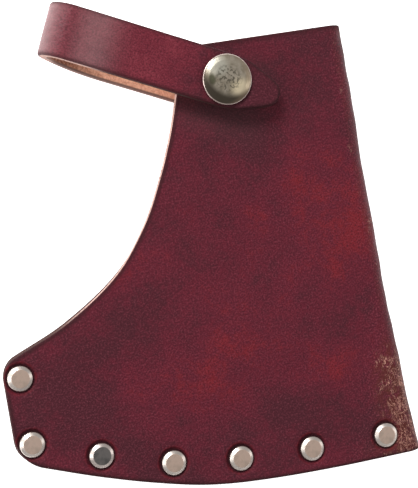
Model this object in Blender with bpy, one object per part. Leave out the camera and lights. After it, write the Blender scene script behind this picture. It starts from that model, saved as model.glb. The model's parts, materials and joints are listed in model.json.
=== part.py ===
"""Folded leather sheath for a felling axe, lying on its back.

The sheath is one hide folded along its right side and riveted along the curve that covers the
cutting edge, over a leather welt strip. A separate strap is riveted to the back panel. It loops
round the neck of the axe and snaps to the front panel.

Frame: metres. The back panel's outer face is the plane Z = 0, +Z points out of the front panel,
+Y runs along the fold towards the open end, and +X points at the fold. The origin is the middle
of the back panel's length and width.
"""

import math

import bmesh
import bpy
from mathutils import Vector

MM = 0.001

# Leather
LEATHER = 2.8 * MM  # thickness of the folded hide, the welt strip and the strap
GAP = 0.3 * MM  # clearance that stacked pieces keep
RIVETED_THICKNESS = 3 * LEATHER + 2 * GAP  # both panels and the welt between them
OPENING_SPREAD = 2.2 * MM  # how much thicker the pouch is at its open end
PINCH_SLOPE = 0.35  # tilt of the line where the pouch starts to open
PINCH_LINE = -41 * MM
OPENING_LENGTH = 105 * MM

# Outline of the panels
TOP_Y = 67.5 * MM
BOTTOM_Y = -67.5 * MM
FOLD_X = 58.7 * MM  # outer face of the fold at the open end
FOLD_FLARE = 4.0 * MM  # the fold spreads this far out where the toe rivet pinches it
FLARE_LENGTH = 100 * MM
HEEL_X = -63.0 * MM  # straight side beside the two heel rivets
HEEL_TOP_Y = -20.9 * MM
HEEL_BOTTOM_Y = -37.5 * MM
HEEL_RADIUS = 6.5 * MM
HEEL_TURN = math.radians(67)
TOE_RADIUS = 11.5 * MM  # round corner below the lower heel rivet
TOE_TURN = math.radians(67)
MOUTH_CORNER = (5.5 * MM, TOP_Y)
MOUTH_CURVE = [
    (-42.0 * MM, -7.8 * MM),
    (-25.0 * MM, 3.4 * MM),
    (-14.2 * MM, 16.2 * MM),
    (-6.9 * MM, 29.5 * MM),
    (-0.7 * MM, 44.0 * MM),
    (3.6 * MM, 58.0 * MM),
]
BIT_CURVE = [
    (-40.0 * MM, -54.2 * MM),
    (-23.6 * MM, -59.6 * MM),
    (-6.7 * MM, -63.9 * MM),
    (11.1 * MM, -66.0 * MM),
    (36.0 * MM, -67.2 * MM),
]
REST_X = 26 * MM  # half size of the middle of the back face, which lies flat on a table
REST_Y = 30 * MM
BACK_EASE = 0.05 * MM  # the rivets pull the rest of the back face in by this much
BACK_SETBACK = 2.8 * MM  # the back panel's mouth edge stops this far short of the front's
HEEL_SETBACK_SHARE = 0.35  # of that setback, the part already there beside the heel rivets
HEEL_SETBACK_Y = -44 * MM  # where the heel's share starts, and the length it grows over
HEEL_SETBACK_RUN = 8 * MM
MOUTH_SETBACK_Y = -15 * MM  # where the rest starts
MOUTH_SETBACK_RUN = 50 * MM

# Welt strip between the panels
WELT_WIDTH = 12 * MM
WELT_INSET = 0.8 * MM
WELT_END_X = 56.0 * MM
WELT_HEEL_X = -53 * MM  # the heel leg of the strip follows the outline left of here
WELT_HEEL_STEPS = 10
WELT_BIT_STEPS = 18

# Rivets
RIVET_CENTRES = [
    (-58.4 * MM, -20.8 * MM),
    (-58.2 * MM, -40.5 * MM),
    (-38.5 * MM, -48.0 * MM),
    (-17.2 * MM, -54.7 * MM),
    (3.7 * MM, -57.8 * MM),
    (26.5 * MM, -59.6 * MM),
    (51.0 * MM, -60.5 * MM),
]
RIVET_SIDES = 16
RIVET_HEAD_RADIUS = 3.75 * MM
RIVET_HEAD_HEIGHT = 1.2 * MM
RIVET_FLAT_RADIUS = 2.75 * MM
RIVET_TUBE_RADIUS = 1.6 * MM
RIVET_BORE_RADIUS = 1.25 * MM
RIVET_STEM_RADIUS = 0.95 * MM
RIVET_RIM_HEIGHT = 0.7 * MM  # of the head's sloping edge, at its outside
POST_HEAD_HEIGHT = 0.8 * MM
TUBE_SHORTFALL = 0.6 * MM  # the tube stops this far below the cap
STEM_SHORTFALL = 1.2 * MM  # the stem stops this far above the bottom of the tube's bore
HOLE_RADIUS = RIVET_TUBE_RADIUS + GAP

# Strap
SNAP_X = 16.4 * MM
SNAP_Y = 55.6 * MM
STRAP_ANGLE = math.radians(24.8)  # between the strap and the -X direction
STRAP_WIDTH = 16.2 * MM
STRAP_STANDOFF = 3.6 * MM  # between the front panel and the snapped strap
LOOP_REACH = 55.3 * MM  # from the snap's axis to the outside of the bend
GENTLE_TURN = math.radians(50)  # of the bend's half turn, the part that the long arc makes
TIGHT_RADIUS = 5.1 * MM  # of the strap's middle surface in the short arc
HINGE_ANGLES = [math.radians(angle) for angle in (15, 45, 75, 105, 135, 165)]
LINK_GAP = 0.15 * MM  # each side of a hinge line
BASE_TAIL = 10.5 * MM  # strap beyond the rear rivet
TONGUE_OUTLINE = [
    (1.0 * MM, 8.1 * MM),
    (5.0 * MM, 7.6 * MM),
    (9.0 * MM, 6.3 * MM),
    (13.3 * MM, 4.6 * MM),
    (15.8 * MM, 3.3 * MM),
    (17.0 * MM, 1.9 * MM),
]

# Snap fastener
SNAP_SIDES = 28
CAP_RADIUS = 7.62 * MM
CAP_BARREL_RADIUS = 1.9 * MM
SOCKET_RADIUS = 6.2 * MM
SOCKET_MOUTH_RADIUS = 3.7 * MM
SOCKET_GROOVE_RADIUS = 4.6 * MM
SOCKET_HOLE_RADIUS = CAP_BARREL_RADIUS + GAP
STUD_FLANGE_RADIUS = 5.4 * MM
STUD_NECK_RADIUS = 2.8 * MM
STUD_HEAD_RADIUS = 3.15 * MM
EYELET_FLANGE_RADIUS = 5.0 * MM
EYELET_BARREL_RADIUS = 1.9 * MM
SPRING_RADIUS = 3.85 * MM
SPRING_WIRE_RADIUS = 0.35 * MM
SPRING_OPENING = math.radians(40)
SPRING_STEPS = 20
SPRING_WIRE_SIDES = 6
SPRING_DEPTH = 1.1 * MM  # of the wire's middle below the socket's top
STUD_HEIGHT = 2.5 * MM
SOCKET_HEIGHT = 2.1 * MM
DOME_HEIGHT = 1.95 * MM

STRAP_ALONG = Vector((-math.cos(STRAP_ANGLE), math.sin(STRAP_ANGLE), 0))
STRAP_ACROSS = Vector((-math.sin(STRAP_ANGLE), -math.cos(STRAP_ANGLE), 0))


def clear_scene():
    for obj in list(bpy.data.objects):
        bpy.data.objects.remove(obj, do_unlink=True)


def make_material(name, colour, roughness, metallic=0.0):
    material = bpy.data.materials.new(name)
    material.use_nodes = True
    shader = material.node_tree.nodes["Principled BSDF"]
    shader.inputs["Base Color"].default_value = (*colour, 1)
    shader.inputs["Roughness"].default_value = roughness
    shader.inputs["Metallic"].default_value = metallic
    return material


def make_object(name, bm, material, pivot=(0, 0, 0), parent=None):
    """An object whose origin is at pivot, from a bmesh in world coordinates."""
    pivot = Vector(pivot)
    bmesh.ops.translate(bm, verts=bm.verts, vec=-pivot)
    mesh = bpy.data.meshes.new(name)
    bm.to_mesh(mesh)
    bm.free()
    mesh.materials.append(material)
    obj = bpy.data.objects.new(name, mesh)
    bpy.context.scene.collection.objects.link(obj)
    obj["pivot"] = pivot
    obj.location = pivot
    if parent:
        obj.parent = parent
        obj.location = pivot - Vector(parent["pivot"])
    return obj


def smooth_round(obj, angle=math.radians(35)):
    obj.data.shade_smooth()
    obj.data.set_sharp_from_angle(angle=angle)


# Plane curves


def arc_points(centre, radius, start, end, count):
    step = (end - start) / count
    return [
        Vector((
            centre[0] + radius * math.cos(start + step * i),
            centre[1] + radius * math.sin(start + step * i),
        ))
        for i in range(count + 1)
    ]


def curve_points(keys, steps):
    """Points on a Catmull-Rom curve through keys, steps between each pair."""
    keys = [Vector(key) for key in keys]
    padded = [2 * keys[0] - keys[1], *keys, 2 * keys[-1] - keys[-2]]
    points = [keys[0]]
    for a, b, c, d in zip(padded, padded[1:], padded[2:], padded[3:]):
        for i in range(1, steps + 1):
            t = i / steps
            points.append(
                0.5 * (2 * b + (c - a) * t + (2 * a - 5 * b + 4 * c - d) * t**2
                       + (3 * b - a - 3 * c + d) * t**3)
            )
    return points


def fractions_along(points):
    """How far along the polyline each point is, from 0 to 1."""
    reached = [0.0]
    for a, b in zip(points, points[1:]):
        reached.append(reached[-1] + (b - a).length)
    return [distance / reached[-1] for distance in reached]


def point_at(points, fraction):
    marks = fractions_along(points)
    for i in range(len(marks) - 2):
        if fraction < marks[i + 1]:
            break
    else:
        i = len(marks) - 2
    share = (fraction - marks[i]) / (marks[i + 1] - marks[i])
    return points[i].lerp(points[i + 1], share)


def smoothstep(value):
    value = min(max(value, 0.0), 1.0)
    return value * value * (3 - 2 * value)


# Sheath body


def pouch_thickness(x, y):
    """From the back panel's outer face to the front panel's, at one place."""
    opened = (y + PINCH_SLOPE * x - PINCH_LINE) / OPENING_LENGTH
    return RIVETED_THICKNESS + OPENING_SPREAD * min(max(opened, 0.0), 1.0)


def fold_outer_x(y):
    return FOLD_X + FOLD_FLARE * max(0.0, (TOP_Y / 2 - y) / FLARE_LENGTH) ** 2


def fold_start_x(y):
    """Where the flat front panel ends and the fold's half circle starts."""
    outer = fold_outer_x(y)
    return outer - pouch_thickness(outer, y) / 2


def heel_side():
    """The left boundary, from the middle of the toe-side corner up to the mouth's corner."""
    lower_centre = (HEEL_X + TOE_RADIUS, HEEL_BOTTOM_Y)
    upper_centre = (HEEL_X + HEEL_RADIUS, HEEL_TOP_Y)
    lower = arc_points(lower_centre, TOE_RADIUS, math.pi + TOE_TURN / 2, math.pi, 3)
    upper = arc_points(upper_centre, HEEL_RADIUS, math.pi, math.pi - HEEL_TURN, 4)
    mouth = curve_points([upper[-1], *MOUTH_CURVE, MOUTH_CORNER], 2)
    return lower + upper + mouth[1:]


def bit_side():
    """The lower boundary, from the middle of the corner at the heel to the fold."""
    centre = (HEEL_X + TOE_RADIUS, HEEL_BOTTOM_Y)
    corner = arc_points(centre, TOE_RADIUS, math.pi + TOE_TURN / 2, math.pi + TOE_TURN, 3)
    end = (fold_start_x(BOTTOM_Y), BOTTOM_Y)
    return corner + curve_points([corner[-1], *BIT_CURVE, end], 2)[1:]


def panel_grid(setback):
    """Rows of plane points that fill one panel, from the heel side (first) to the fold (last)."""
    left = heel_side()
    bottom = bit_side()
    for point in left:
        beside_heel = smoothstep((point.y - HEEL_SETBACK_Y) / HEEL_SETBACK_RUN)
        beside_mouth = smoothstep((point.y - MOUTH_SETBACK_Y) / MOUTH_SETBACK_RUN)
        point.x += setback * HEEL_SETBACK_SHARE * beside_heel
        point.x += setback * (1 - HEEL_SETBACK_SHARE) * beside_mouth
    top = [left[-1], Vector((fold_start_x(TOP_Y), TOP_Y))]
    rows = []
    for t, start in zip(fractions_along(left), left):
        fold_y = BOTTOM_Y + t * (TOP_Y - BOTTOM_Y)
        end = Vector((fold_start_x(fold_y), fold_y))
        row = []
        for s, low in zip(fractions_along(bottom), bottom):
            corners = (
                (1 - s) * (1 - t) * bottom[0] + s * (1 - t) * bottom[-1]
                + (1 - s) * t * top[0] + s * t * top[-1]
            )
            edges = (1 - s) * start + s * end + (1 - t) * low + t * point_at(top, s)
            row.append(edges - corners)
        rows.append(row)
    return rows


def fold_section(y, steps=7):
    """Outer and inner points of the fold's half circle, without its two ends."""
    outer_x = fold_outer_x(y)
    height = pouch_thickness(outer_x, y)
    middle = Vector((outer_x - height / 2, y, height / 2))
    pairs = []
    for i in range(1, steps):
        angle = math.pi / 2 - math.pi * i / steps
        spoke = Vector((math.cos(angle), 0, math.sin(angle)))
        pairs.append((middle + spoke * height / 2, middle + spoke * (height / 2 - LEATHER)))
    return pairs


def back_level(x, y):
    return 0.0 if abs(x) < REST_X and abs(y) < REST_Y else BACK_EASE


def sheath_rows():
    """For each row, the (outer, inner) points from the front panel round to the back panel."""
    rows = []
    for front, back in zip(panel_grid(0.0), panel_grid(BACK_SETBACK)):
        pairs = []
        for point in front:
            height = pouch_thickness(point.x, point.y)
            pairs.append((
                Vector((point.x, point.y, height)),
                Vector((point.x, point.y, height - LEATHER)),
            ))
        pairs += fold_section(front[-1].y)
        for point in reversed(back):
            low = back_level(point.x, point.y)
            pairs.append((Vector((point.x, point.y, low)), Vector((point.x, point.y, LEATHER))))
        rows.append(pairs)
    return rows


def thick_sheet(rows):
    """A closed bmesh from rows of (outer, inner) points."""
    bm = bmesh.new()
    outer = [[bm.verts.new(pair[0]) for pair in row] for row in rows]
    inner = [[bm.verts.new(pair[1]) for pair in row] for row in rows]
    last_row = len(rows) - 1
    last_column = len(rows[0]) - 1
    for i in range(last_row):
        for j in range(last_column):
            bm.faces.new((outer[i][j], outer[i][j + 1], outer[i + 1][j + 1], outer[i + 1][j]))
            bm.faces.new((inner[i + 1][j], inner[i + 1][j + 1], inner[i][j + 1], inner[i][j]))
    for j in range(last_column):
        bm.faces.new((inner[0][j], inner[0][j + 1], outer[0][j + 1], outer[0][j]))
        bm.faces.new((
            outer[last_row][j],
            outer[last_row][j + 1],
            inner[last_row][j + 1],
            inner[last_row][j],
        ))
    for i in range(last_row):
        bm.faces.new((outer[i][0], outer[i + 1][0], inner[i + 1][0], inner[i][0]))
        bm.faces.new((
            inner[i][last_column],
            inner[i + 1][last_column],
            outer[i + 1][last_column],
            outer[i][last_column],
        ))
    bmesh.ops.recalc_face_normals(bm, faces=bm.faces)
    return bm


def hole_cutter(name, holes):
    """One hidden cutter made of upright cylinders: (x, y, radius, low z, high z)."""
    bm = bmesh.new()
    for x, y, radius, low, high in holes:
        made = bmesh.ops.create_cone(
            bm, cap_ends=True, segments=RIVET_SIDES, radius1=radius, radius2=radius,
            depth=high - low,
        )
        bmesh.ops.translate(bm, verts=made["verts"], vec=(x, y, (low + high) / 2))
    mesh = bpy.data.meshes.new(name)
    bm.to_mesh(mesh)
    bm.free()
    cutter = bpy.data.objects.new(name, mesh)
    bpy.context.scene.collection.objects.link(cutter)
    cutter.hide_render = True
    cutter.display_type = "WIRE"
    return cutter


def cut_with(obj, cutter):
    boolean = obj.modifiers.new("holes", "BOOLEAN")
    boolean.operation = "DIFFERENCE"
    boolean.solver = "EXACT"
    boolean.object = cutter


def make_body(material, cutter):
    body = make_object("sheath_body", thick_sheet(sheath_rows()), material)
    cut_with(body, cutter)
    smooth_round(body)
    return body


def inward_offset(points, distance):
    """The same polyline moved to its left-hand side, seen along its direction."""
    moved = []
    for i, point in enumerate(points):
        before = points[max(i - 1, 0)]
        after = points[min(i + 1, len(points) - 1)]
        along = (after - before).normalized()
        moved.append(point + distance * Vector((-along.y, along.x)))
    return moved


def resampled(points, count):
    return [point_at(points, i / count) for i in range(count + 1)]


def make_welt(material, cutter):
    """The flat strip that keeps the cutting edge off the rivets, along heel side and bit side."""
    heel = [point for point in heel_side() if point.x < WELT_HEEL_X]
    bit = [point for point in bit_side() if point.x < WELT_END_X]
    bit.append(Vector((WELT_END_X, BOTTOM_Y + WELT_INSET / 2)))
    outer_heel = resampled(inward_offset(heel[::-1], WELT_INSET), WELT_HEEL_STEPS)
    outer_bit = resampled(inward_offset(bit, WELT_INSET), WELT_BIT_STEPS)
    inner_bit = inward_offset(bit, WELT_WIDTH)
    corner = Vector((HEEL_X + WELT_WIDTH, HEEL_BOTTOM_Y - 1 * MM))
    past_corner = [point for point in inner_bit if point.x > corner.x + 2 * MM]
    inner_bit = resampled([corner, *past_corner], WELT_BIT_STEPS)
    inner_heel = resampled([Vector((corner.x, heel[-1].y)), corner], WELT_HEEL_STEPS)
    outer = outer_heel + outer_bit[1:]
    inner = inner_heel + inner_bit[1:]
    low = LEATHER + GAP
    rows = []
    for edge in (outer, inner):
        rows.append([
            (Vector((point.x, point.y, low + LEATHER)), Vector((point.x, point.y, low)))
            for point in edge
        ])
    welt = make_object("edge_welt", thick_sheet(rows), material)
    cut_with(welt, cutter)
    return welt


# Turned pieces


def turned(profile, centre, sides):
    """A closed solid of revolution about an upright axis; profile is (radius, z), axis to axis."""
    bm = bmesh.new()
    rings = []
    for radius, z in profile:
        if radius == 0:
            rings.append([bm.verts.new((centre[0], centre[1], z))])
            continue
        rings.append([
            bm.verts.new((
                centre[0] + radius * math.cos(2 * math.pi * i / sides),
                centre[1] + radius * math.sin(2 * math.pi * i / sides),
                z,
            ))
            for i in range(sides)
        ])
    if profile[0][0] > 0:
        rings.append(rings[0])
    for upper, lower in zip(rings, rings[1:]):
        for i in range(sides):
            corners = [
                upper[i % len(upper)],
                upper[(i + 1) % len(upper)],
                lower[(i + 1) % len(lower)],
                lower[i % len(lower)],
            ]
            unique = list(dict.fromkeys(corners))
            bm.faces.new(unique)
    bmesh.ops.recalc_face_normals(bm, faces=bm.faces)
    return bm


def flipped(profile, level):
    """The profile mirrored about a level, so that a piece faces the other way."""
    return [(radius, 2 * level - z) for radius, z in profile]


def rivet_cap_profile(seat, stem_end):
    """Head above the leather surface at seat, with a stem down to stem_end."""
    under = seat + GAP
    return [
        (0, under + RIVET_HEAD_HEIGHT),
        (RIVET_FLAT_RADIUS * 0.7, under + RIVET_HEAD_HEIGHT - 0.02 * MM),
        (RIVET_FLAT_RADIUS, under + RIVET_HEAD_HEIGHT - 0.1 * MM),
        (RIVET_HEAD_RADIUS - 0.3 * MM, under + RIVET_RIM_HEIGHT),
        (RIVET_HEAD_RADIUS, under + 0.25 * MM),
        (RIVET_HEAD_RADIUS - 0.1 * MM, under),
        (RIVET_STEM_RADIUS, under),
        (RIVET_STEM_RADIUS, stem_end),
        (0, stem_end),
    ]


def rivet_post_profile(seat, tube_end):
    """Flat head below the leather surface at seat, with a tube up to tube_end."""
    top = seat - GAP
    bottom = top - POST_HEAD_HEIGHT
    return [
        (0, bottom),
        (RIVET_HEAD_RADIUS - 0.5 * MM, bottom),
        (RIVET_HEAD_RADIUS, top - 0.4 * MM),
        (RIVET_HEAD_RADIUS - 0.1 * MM, top),
        (RIVET_TUBE_RADIUS, top),
        (RIVET_TUBE_RADIUS, tube_end),
        (RIVET_BORE_RADIUS, tube_end),
        (RIVET_BORE_RADIUS, top),
        (0, top),
    ]


def make_edge_rivets(material):
    for number, centre in enumerate(RIVET_CENTRES, 1):
        seat = pouch_thickness(*centre)
        cap_profile = rivet_cap_profile(seat, STEM_SHORTFALL)
        post_profile = rivet_post_profile(0.0, seat + GAP - TUBE_SHORTFALL)
        cap = turned(cap_profile, centre, RIVET_SIDES)
        post = turned(post_profile, centre, RIVET_SIDES)
        smooth_round(make_object(f"rivet_cap_{number}", cap, material))
        smooth_round(make_object(f"rivet_post_{number}", post, material))


def make_strap_rivet(material):
    """The same two-piece rivet turned over: its cap is outside the strap, its post in the pocket."""
    centre = (SNAP_X, SNAP_Y)
    strap_outer = -GAP - LEATHER
    stack = LEATHER - strap_outer
    cap_profile = flipped(rivet_cap_profile(stack, STEM_SHORTFALL), LEATHER / 2)
    post_profile = flipped(rivet_post_profile(0.0, stack + GAP - TUBE_SHORTFALL), LEATHER / 2)
    smooth_round(make_object("strap_rivet_cap", turned(cap_profile, centre, RIVET_SIDES), material))
    smooth_round(make_object("strap_rivet_post", turned(post_profile, centre, RIVET_SIDES), material))


# Strap


def strap_levels():
    """Heights of the strap's middle surface along the back run and the front run."""
    back = -GAP - LEATHER / 2
    front = pouch_thickness(SNAP_X, SNAP_Y) + STRAP_STANDOFF + LEATHER / 2
    return back, front


def gentle_radius():
    back, front = strap_levels()
    rise = front - back - TIGHT_RADIUS * (1 + math.cos(GENTLE_TURN))
    return rise / (1 - math.cos(GENTLE_TURN))


def bend_start():
    """Distance from the snap's axis at which the back run starts to curve up."""
    reach = LOOP_REACH - LEATHER / 2 - TIGHT_RADIUS * (1 - math.sin(GENTLE_TURN))
    return reach - gentle_radius() * math.sin(GENTLE_TURN)


def bend_point(turn):
    """(distance along the strap, height) of the middle surface where it has turned this far."""
    back, _ = strap_levels()
    radius = gentle_radius()
    first = min(turn, GENTLE_TURN)
    along = bend_start() + radius * math.sin(first)
    height = back + radius * (1 - math.cos(first))
    if turn > GENTLE_TURN:
        along += TIGHT_RADIUS * (math.sin(turn) - math.sin(GENTLE_TURN))
        height += TIGHT_RADIUS * (math.cos(GENTLE_TURN) - math.cos(turn))
    return along, height


def station(along, height, turn, half_width, slip=0.0):
    """Four corners of the strap's cross-section: outer and inner face, at its two edges."""
    forward = STRAP_ALONG * math.cos(turn) + Vector((0, 0, math.sin(turn)))
    outward = STRAP_ALONG * math.sin(turn) - Vector((0, 0, math.cos(turn)))
    middle = Vector((SNAP_X, SNAP_Y, height)) + STRAP_ALONG * along + forward * slip
    outer = middle + outward * LEATHER / 2
    inner = middle - outward * LEATHER / 2
    side = STRAP_ACROSS * half_width
    return (outer - side, outer + side, inner + side, inner - side)


def bend_station(turn, slip=0.0):
    along, height = bend_point(turn)
    return station(along, height, turn, STRAP_WIDTH / 2, slip)


def lofted(stations):
    bm = bmesh.new()
    loops = [[bm.verts.new(corner) for corner in corners] for corners in stations]
    for first, second in zip(loops, loops[1:]):
        for i in range(4):
            j = (i + 1) % 4
            bm.faces.new((first[i], first[j], second[j], second[i]))
    bm.faces.new(loops[0][::-1])
    bm.faces.new(loops[-1])
    bmesh.ops.recalc_face_normals(bm, faces=bm.faces)
    return bm


def turns_between(start, end, step=math.radians(10)):
    count = max(1, math.ceil((end - start) / step - 1e-6))
    return [start + (end - start) * i / count for i in range(count + 1)]


def hinge_point(turn):
    """On the strap's outer face, where one link turns against the next."""
    along, height = bend_point(turn)
    return (
        Vector((SNAP_X, SNAP_Y, height)) + STRAP_ALONG * along
        + (STRAP_ALONG * math.sin(turn) - Vector((0, 0, math.cos(turn)))) * LEATHER / 2
    )


def base_stations():
    """The back run: its round tail, the stretch under the back panel and the start of the bend."""
    back, _ = strap_levels()
    half = STRAP_WIDTH / 2
    stations = []
    for degrees in (20, 40, 65, 90):
        angle = math.radians(degrees)
        along = half - BASE_TAIL - half * math.cos(angle)
        stations.append(station(along, back, 0, half * math.sin(angle)))
    turns = turns_between(0, HINGE_ANGLES[0])
    stations += [bend_station(turn) for turn in turns[:-1]]
    stations.append(bend_station(turns[-1], -LINK_GAP))
    return stations


def link_stations(start, end):
    turns = turns_between(start, end)
    return [
        bend_station(start, LINK_GAP),
        *[bend_station(turn) for turn in turns[1:-1]],
        bend_station(end, -LINK_GAP),
    ]


def tongue_stations():
    """The end of the bend, the front run and the tapered tip beyond the snap."""
    _, front = strap_levels()
    turns = turns_between(HINGE_ANGLES[-1], math.pi)
    stations = [bend_station(turns[0], LINK_GAP)]
    stations += [bend_station(turn) for turn in turns[1:]]
    for past_snap, half_width in TONGUE_OUTLINE:
        stations.append(station(-past_snap, front, math.pi, half_width))
    return stations


def make_strap(material):
    """Base, links and tongue, each with its origin on the axis it turns about."""
    holes = [(SNAP_X, SNAP_Y, HOLE_RADIUS, -5 * MM, -GAP / 2)]
    base_cutter = hole_cutter("strap_base_hole", holes)
    _, front = strap_levels()
    holes = [(SNAP_X, SNAP_Y, SOCKET_HOLE_RADIUS, front - 5 * MM, front + 5 * MM)]
    tongue_cutter = hole_cutter("strap_tongue_hole", holes)
    base = make_object("strap_base", lofted(base_stations()), material, (SNAP_X, SNAP_Y, 0))
    cut_with(base, base_cutter)
    smooth_round(base)
    previous = base
    for number, (start, end) in enumerate(zip(HINGE_ANGLES, HINGE_ANGLES[1:]), 1):
        bm = lofted(link_stations(start, end))
        link = make_object(f"strap_link_{number}", bm, material, hinge_point(start), previous)
        smooth_round(link)
        previous = link
    bm = lofted(tongue_stations())
    tongue = make_object("strap_tongue", bm, material, hinge_point(HINGE_ANGLES[-1]), previous)
    cut_with(tongue, tongue_cutter)
    smooth_round(tongue)
    return tongue


# Snap fastener


def snap_cap_profile(strap_top, barrel_end):
    """Low dome with a rolled rim, and the barrel that goes down through the strap."""
    under = strap_top + GAP
    return [
        (0, under + DOME_HEIGHT),
        (2.4 * MM, under + 1.85 * MM),
        (4.6 * MM, under + 1.5 * MM),
        (6.3 * MM, under + 0.95 * MM),
        (6.8 * MM, under + 0.8 * MM),
        (7.15 * MM, under + 0.9 * MM),
        (7.5 * MM, under + 0.7 * MM),
        (CAP_RADIUS, under + 0.35 * MM),
        (7.3 * MM, under),
        (CAP_BARREL_RADIUS, under),
        (CAP_BARREL_RADIUS, barrel_end),
        (0, barrel_end),
    ]


def snap_socket_profile(top):
    """Ring under the strap with a groove for the spring and a hole for the cap's barrel."""
    return [
        (SOCKET_HOLE_RADIUS, top),
        (SOCKET_RADIUS - 0.5 * MM, top),
        (SOCKET_RADIUS, top - 0.5 * MM),
        (SOCKET_RADIUS, top - 1.7 * MM),
        (SOCKET_RADIUS - 0.5 * MM, top - SOCKET_HEIGHT),
        (SOCKET_MOUTH_RADIUS, top - SOCKET_HEIGHT),
        (SOCKET_MOUTH_RADIUS, top - 1.75 * MM),
        (SOCKET_GROOVE_RADIUS, top - 1.75 * MM),
        (SOCKET_GROOVE_RADIUS, top - 0.5 * MM),
        (SOCKET_HOLE_RADIUS, top - 0.5 * MM),
    ]


def snap_stud_profile(seat):
    """Flange on the front panel and a hollow nipple whose head the socket's spring grips."""
    return [
        (0, seat + STUD_HEIGHT),
        (STUD_HEAD_RADIUS - 0.7 * MM, seat + 2.45 * MM),
        (STUD_HEAD_RADIUS, seat + 2.0 * MM),
        (STUD_HEAD_RADIUS, seat + 1.7 * MM),
        (STUD_NECK_RADIUS, seat + 1.4 * MM),
        (STUD_NECK_RADIUS, seat + 0.7 * MM),
        (STUD_FLANGE_RADIUS - 0.4 * MM, seat + 0.7 * MM),
        (STUD_FLANGE_RADIUS, seat + 0.35 * MM),
        (STUD_FLANGE_RADIUS - 0.2 * MM, seat),
        (EYELET_BARREL_RADIUS + GAP, seat),
        (EYELET_BARREL_RADIUS + GAP, seat + 1.9 * MM),
        (0, seat + 1.9 * MM),
    ]


def snap_eyelet_profile(seat, barrel_end):
    """Flange inside the pocket, under the front panel, and the barrel up into the stud."""
    return [
        (0, seat - 0.6 * MM),
        (EYELET_FLANGE_RADIUS - 0.5 * MM, seat - 0.6 * MM),
        (EYELET_FLANGE_RADIUS, seat - 0.2 * MM),
        (EYELET_FLANGE_RADIUS - 0.1 * MM, seat),
        (EYELET_BARREL_RADIUS, seat),
        (EYELET_BARREL_RADIUS, barrel_end),
        (0, barrel_end),
    ]


def spring_ring(height):
    """A round wire bent to an open ring."""
    bm = bmesh.new()
    sides = SPRING_WIRE_SIDES
    rings = []
    for i in range(SPRING_STEPS + 1):
        angle = SPRING_OPENING / 2 + (2 * math.pi - SPRING_OPENING) * i / SPRING_STEPS
        spoke = Vector((math.cos(angle), math.sin(angle), 0))
        centre = Vector((SNAP_X, SNAP_Y, height)) + spoke * SPRING_RADIUS
        ring = []
        for j in range(sides):
            around = 2 * math.pi * j / sides
            lift = Vector((0, 0, math.sin(around)))
            offset = (spoke * math.cos(around) + lift) * SPRING_WIRE_RADIUS
            ring.append(bm.verts.new(centre + offset))
        rings.append(ring)
    for first, second in zip(rings, rings[1:]):
        for j in range(sides):
            k = (j + 1) % sides
            bm.faces.new((first[j], first[k], second[k], second[j]))
    bm.faces.new(rings[0][::-1])
    bm.faces.new(rings[-1])
    bmesh.ops.recalc_face_normals(bm, faces=bm.faces)
    return bm


def make_snap(tongue, plated, spring_steel):
    """Cap, socket and spring travel with the strap; stud and eyelet stay on the front panel."""
    centre = (SNAP_X, SNAP_Y)
    panel_top = pouch_thickness(*centre)
    strap_bottom = panel_top + STRAP_STANDOFF
    strap_top = strap_bottom + LEATHER
    socket_top = strap_bottom - GAP
    pivot = hinge_point(HINGE_ANGLES[-1])
    moving = {
        "snap_cap": snap_cap_profile(strap_top, socket_top - 0.4 * MM),
        "snap_socket": snap_socket_profile(socket_top),
    }
    fixed = {
        "snap_stud": snap_stud_profile(panel_top + GAP),
        "snap_eyelet": snap_eyelet_profile(panel_top - LEATHER - GAP, panel_top + 1.7 * MM),
    }
    for name, profile in moving.items():
        bm = turned(profile, centre, SNAP_SIDES)
        smooth_round(make_object(name, bm, plated, pivot, tongue))
    for name, profile in fixed.items():
        smooth_round(make_object(name, turned(profile, centre, SNAP_SIDES), plated))
    ring = spring_ring(socket_top - SPRING_DEPTH)
    smooth_round(make_object("snap_spring", ring, spring_steel, pivot, tongue))


def main():
    clear_scene()
    hide = make_material("oxblood_leather", (0.12, 0.022, 0.03), 0.45)
    strap_leather = make_material("strap_leather", (0.19, 0.04, 0.05), 0.42)
    welt_leather = make_material("natural_leather", (0.55, 0.33, 0.2), 0.75)
    nickel = make_material("nickel_plate", (0.62, 0.56, 0.5), 0.28, 1.0)
    aged_nickel = make_material("aged_nickel", (0.5, 0.43, 0.36), 0.34, 1.0)
    spring_steel = make_material("spring_steel", (0.45, 0.45, 0.46), 0.3, 1.0)

    above = 30 * MM
    below = -10 * MM
    through = [(x, y, HOLE_RADIUS, below, above) for x, y in RIVET_CENTRES]
    panel_middle = pouch_thickness(SNAP_X, SNAP_Y) / 2
    snap_hole = (SNAP_X, SNAP_Y, EYELET_BARREL_RADIUS + GAP, panel_middle, above)
    strap_hole = (SNAP_X, SNAP_Y, HOLE_RADIUS, below, panel_middle - GAP)
    body_cutter = hole_cutter("body_holes", [*through, snap_hole, strap_hole])
    welt_cutter = hole_cutter("welt_holes", through)

    make_body(hide, body_cutter)
    make_welt(welt_leather, welt_cutter)
    make_edge_rivets(nickel)
    make_strap_rivet(nickel)
    tongue = make_strap(strap_leather)
    make_snap(tongue, aged_nickel, spring_steel)


main()
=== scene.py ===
"""Leather axe sheath with a riveted edge and a snapped strap, as a scene over its CAD frame."""

import json
import math

import bpy
import numpy as np
from mathutils import Matrix, Vector

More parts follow.
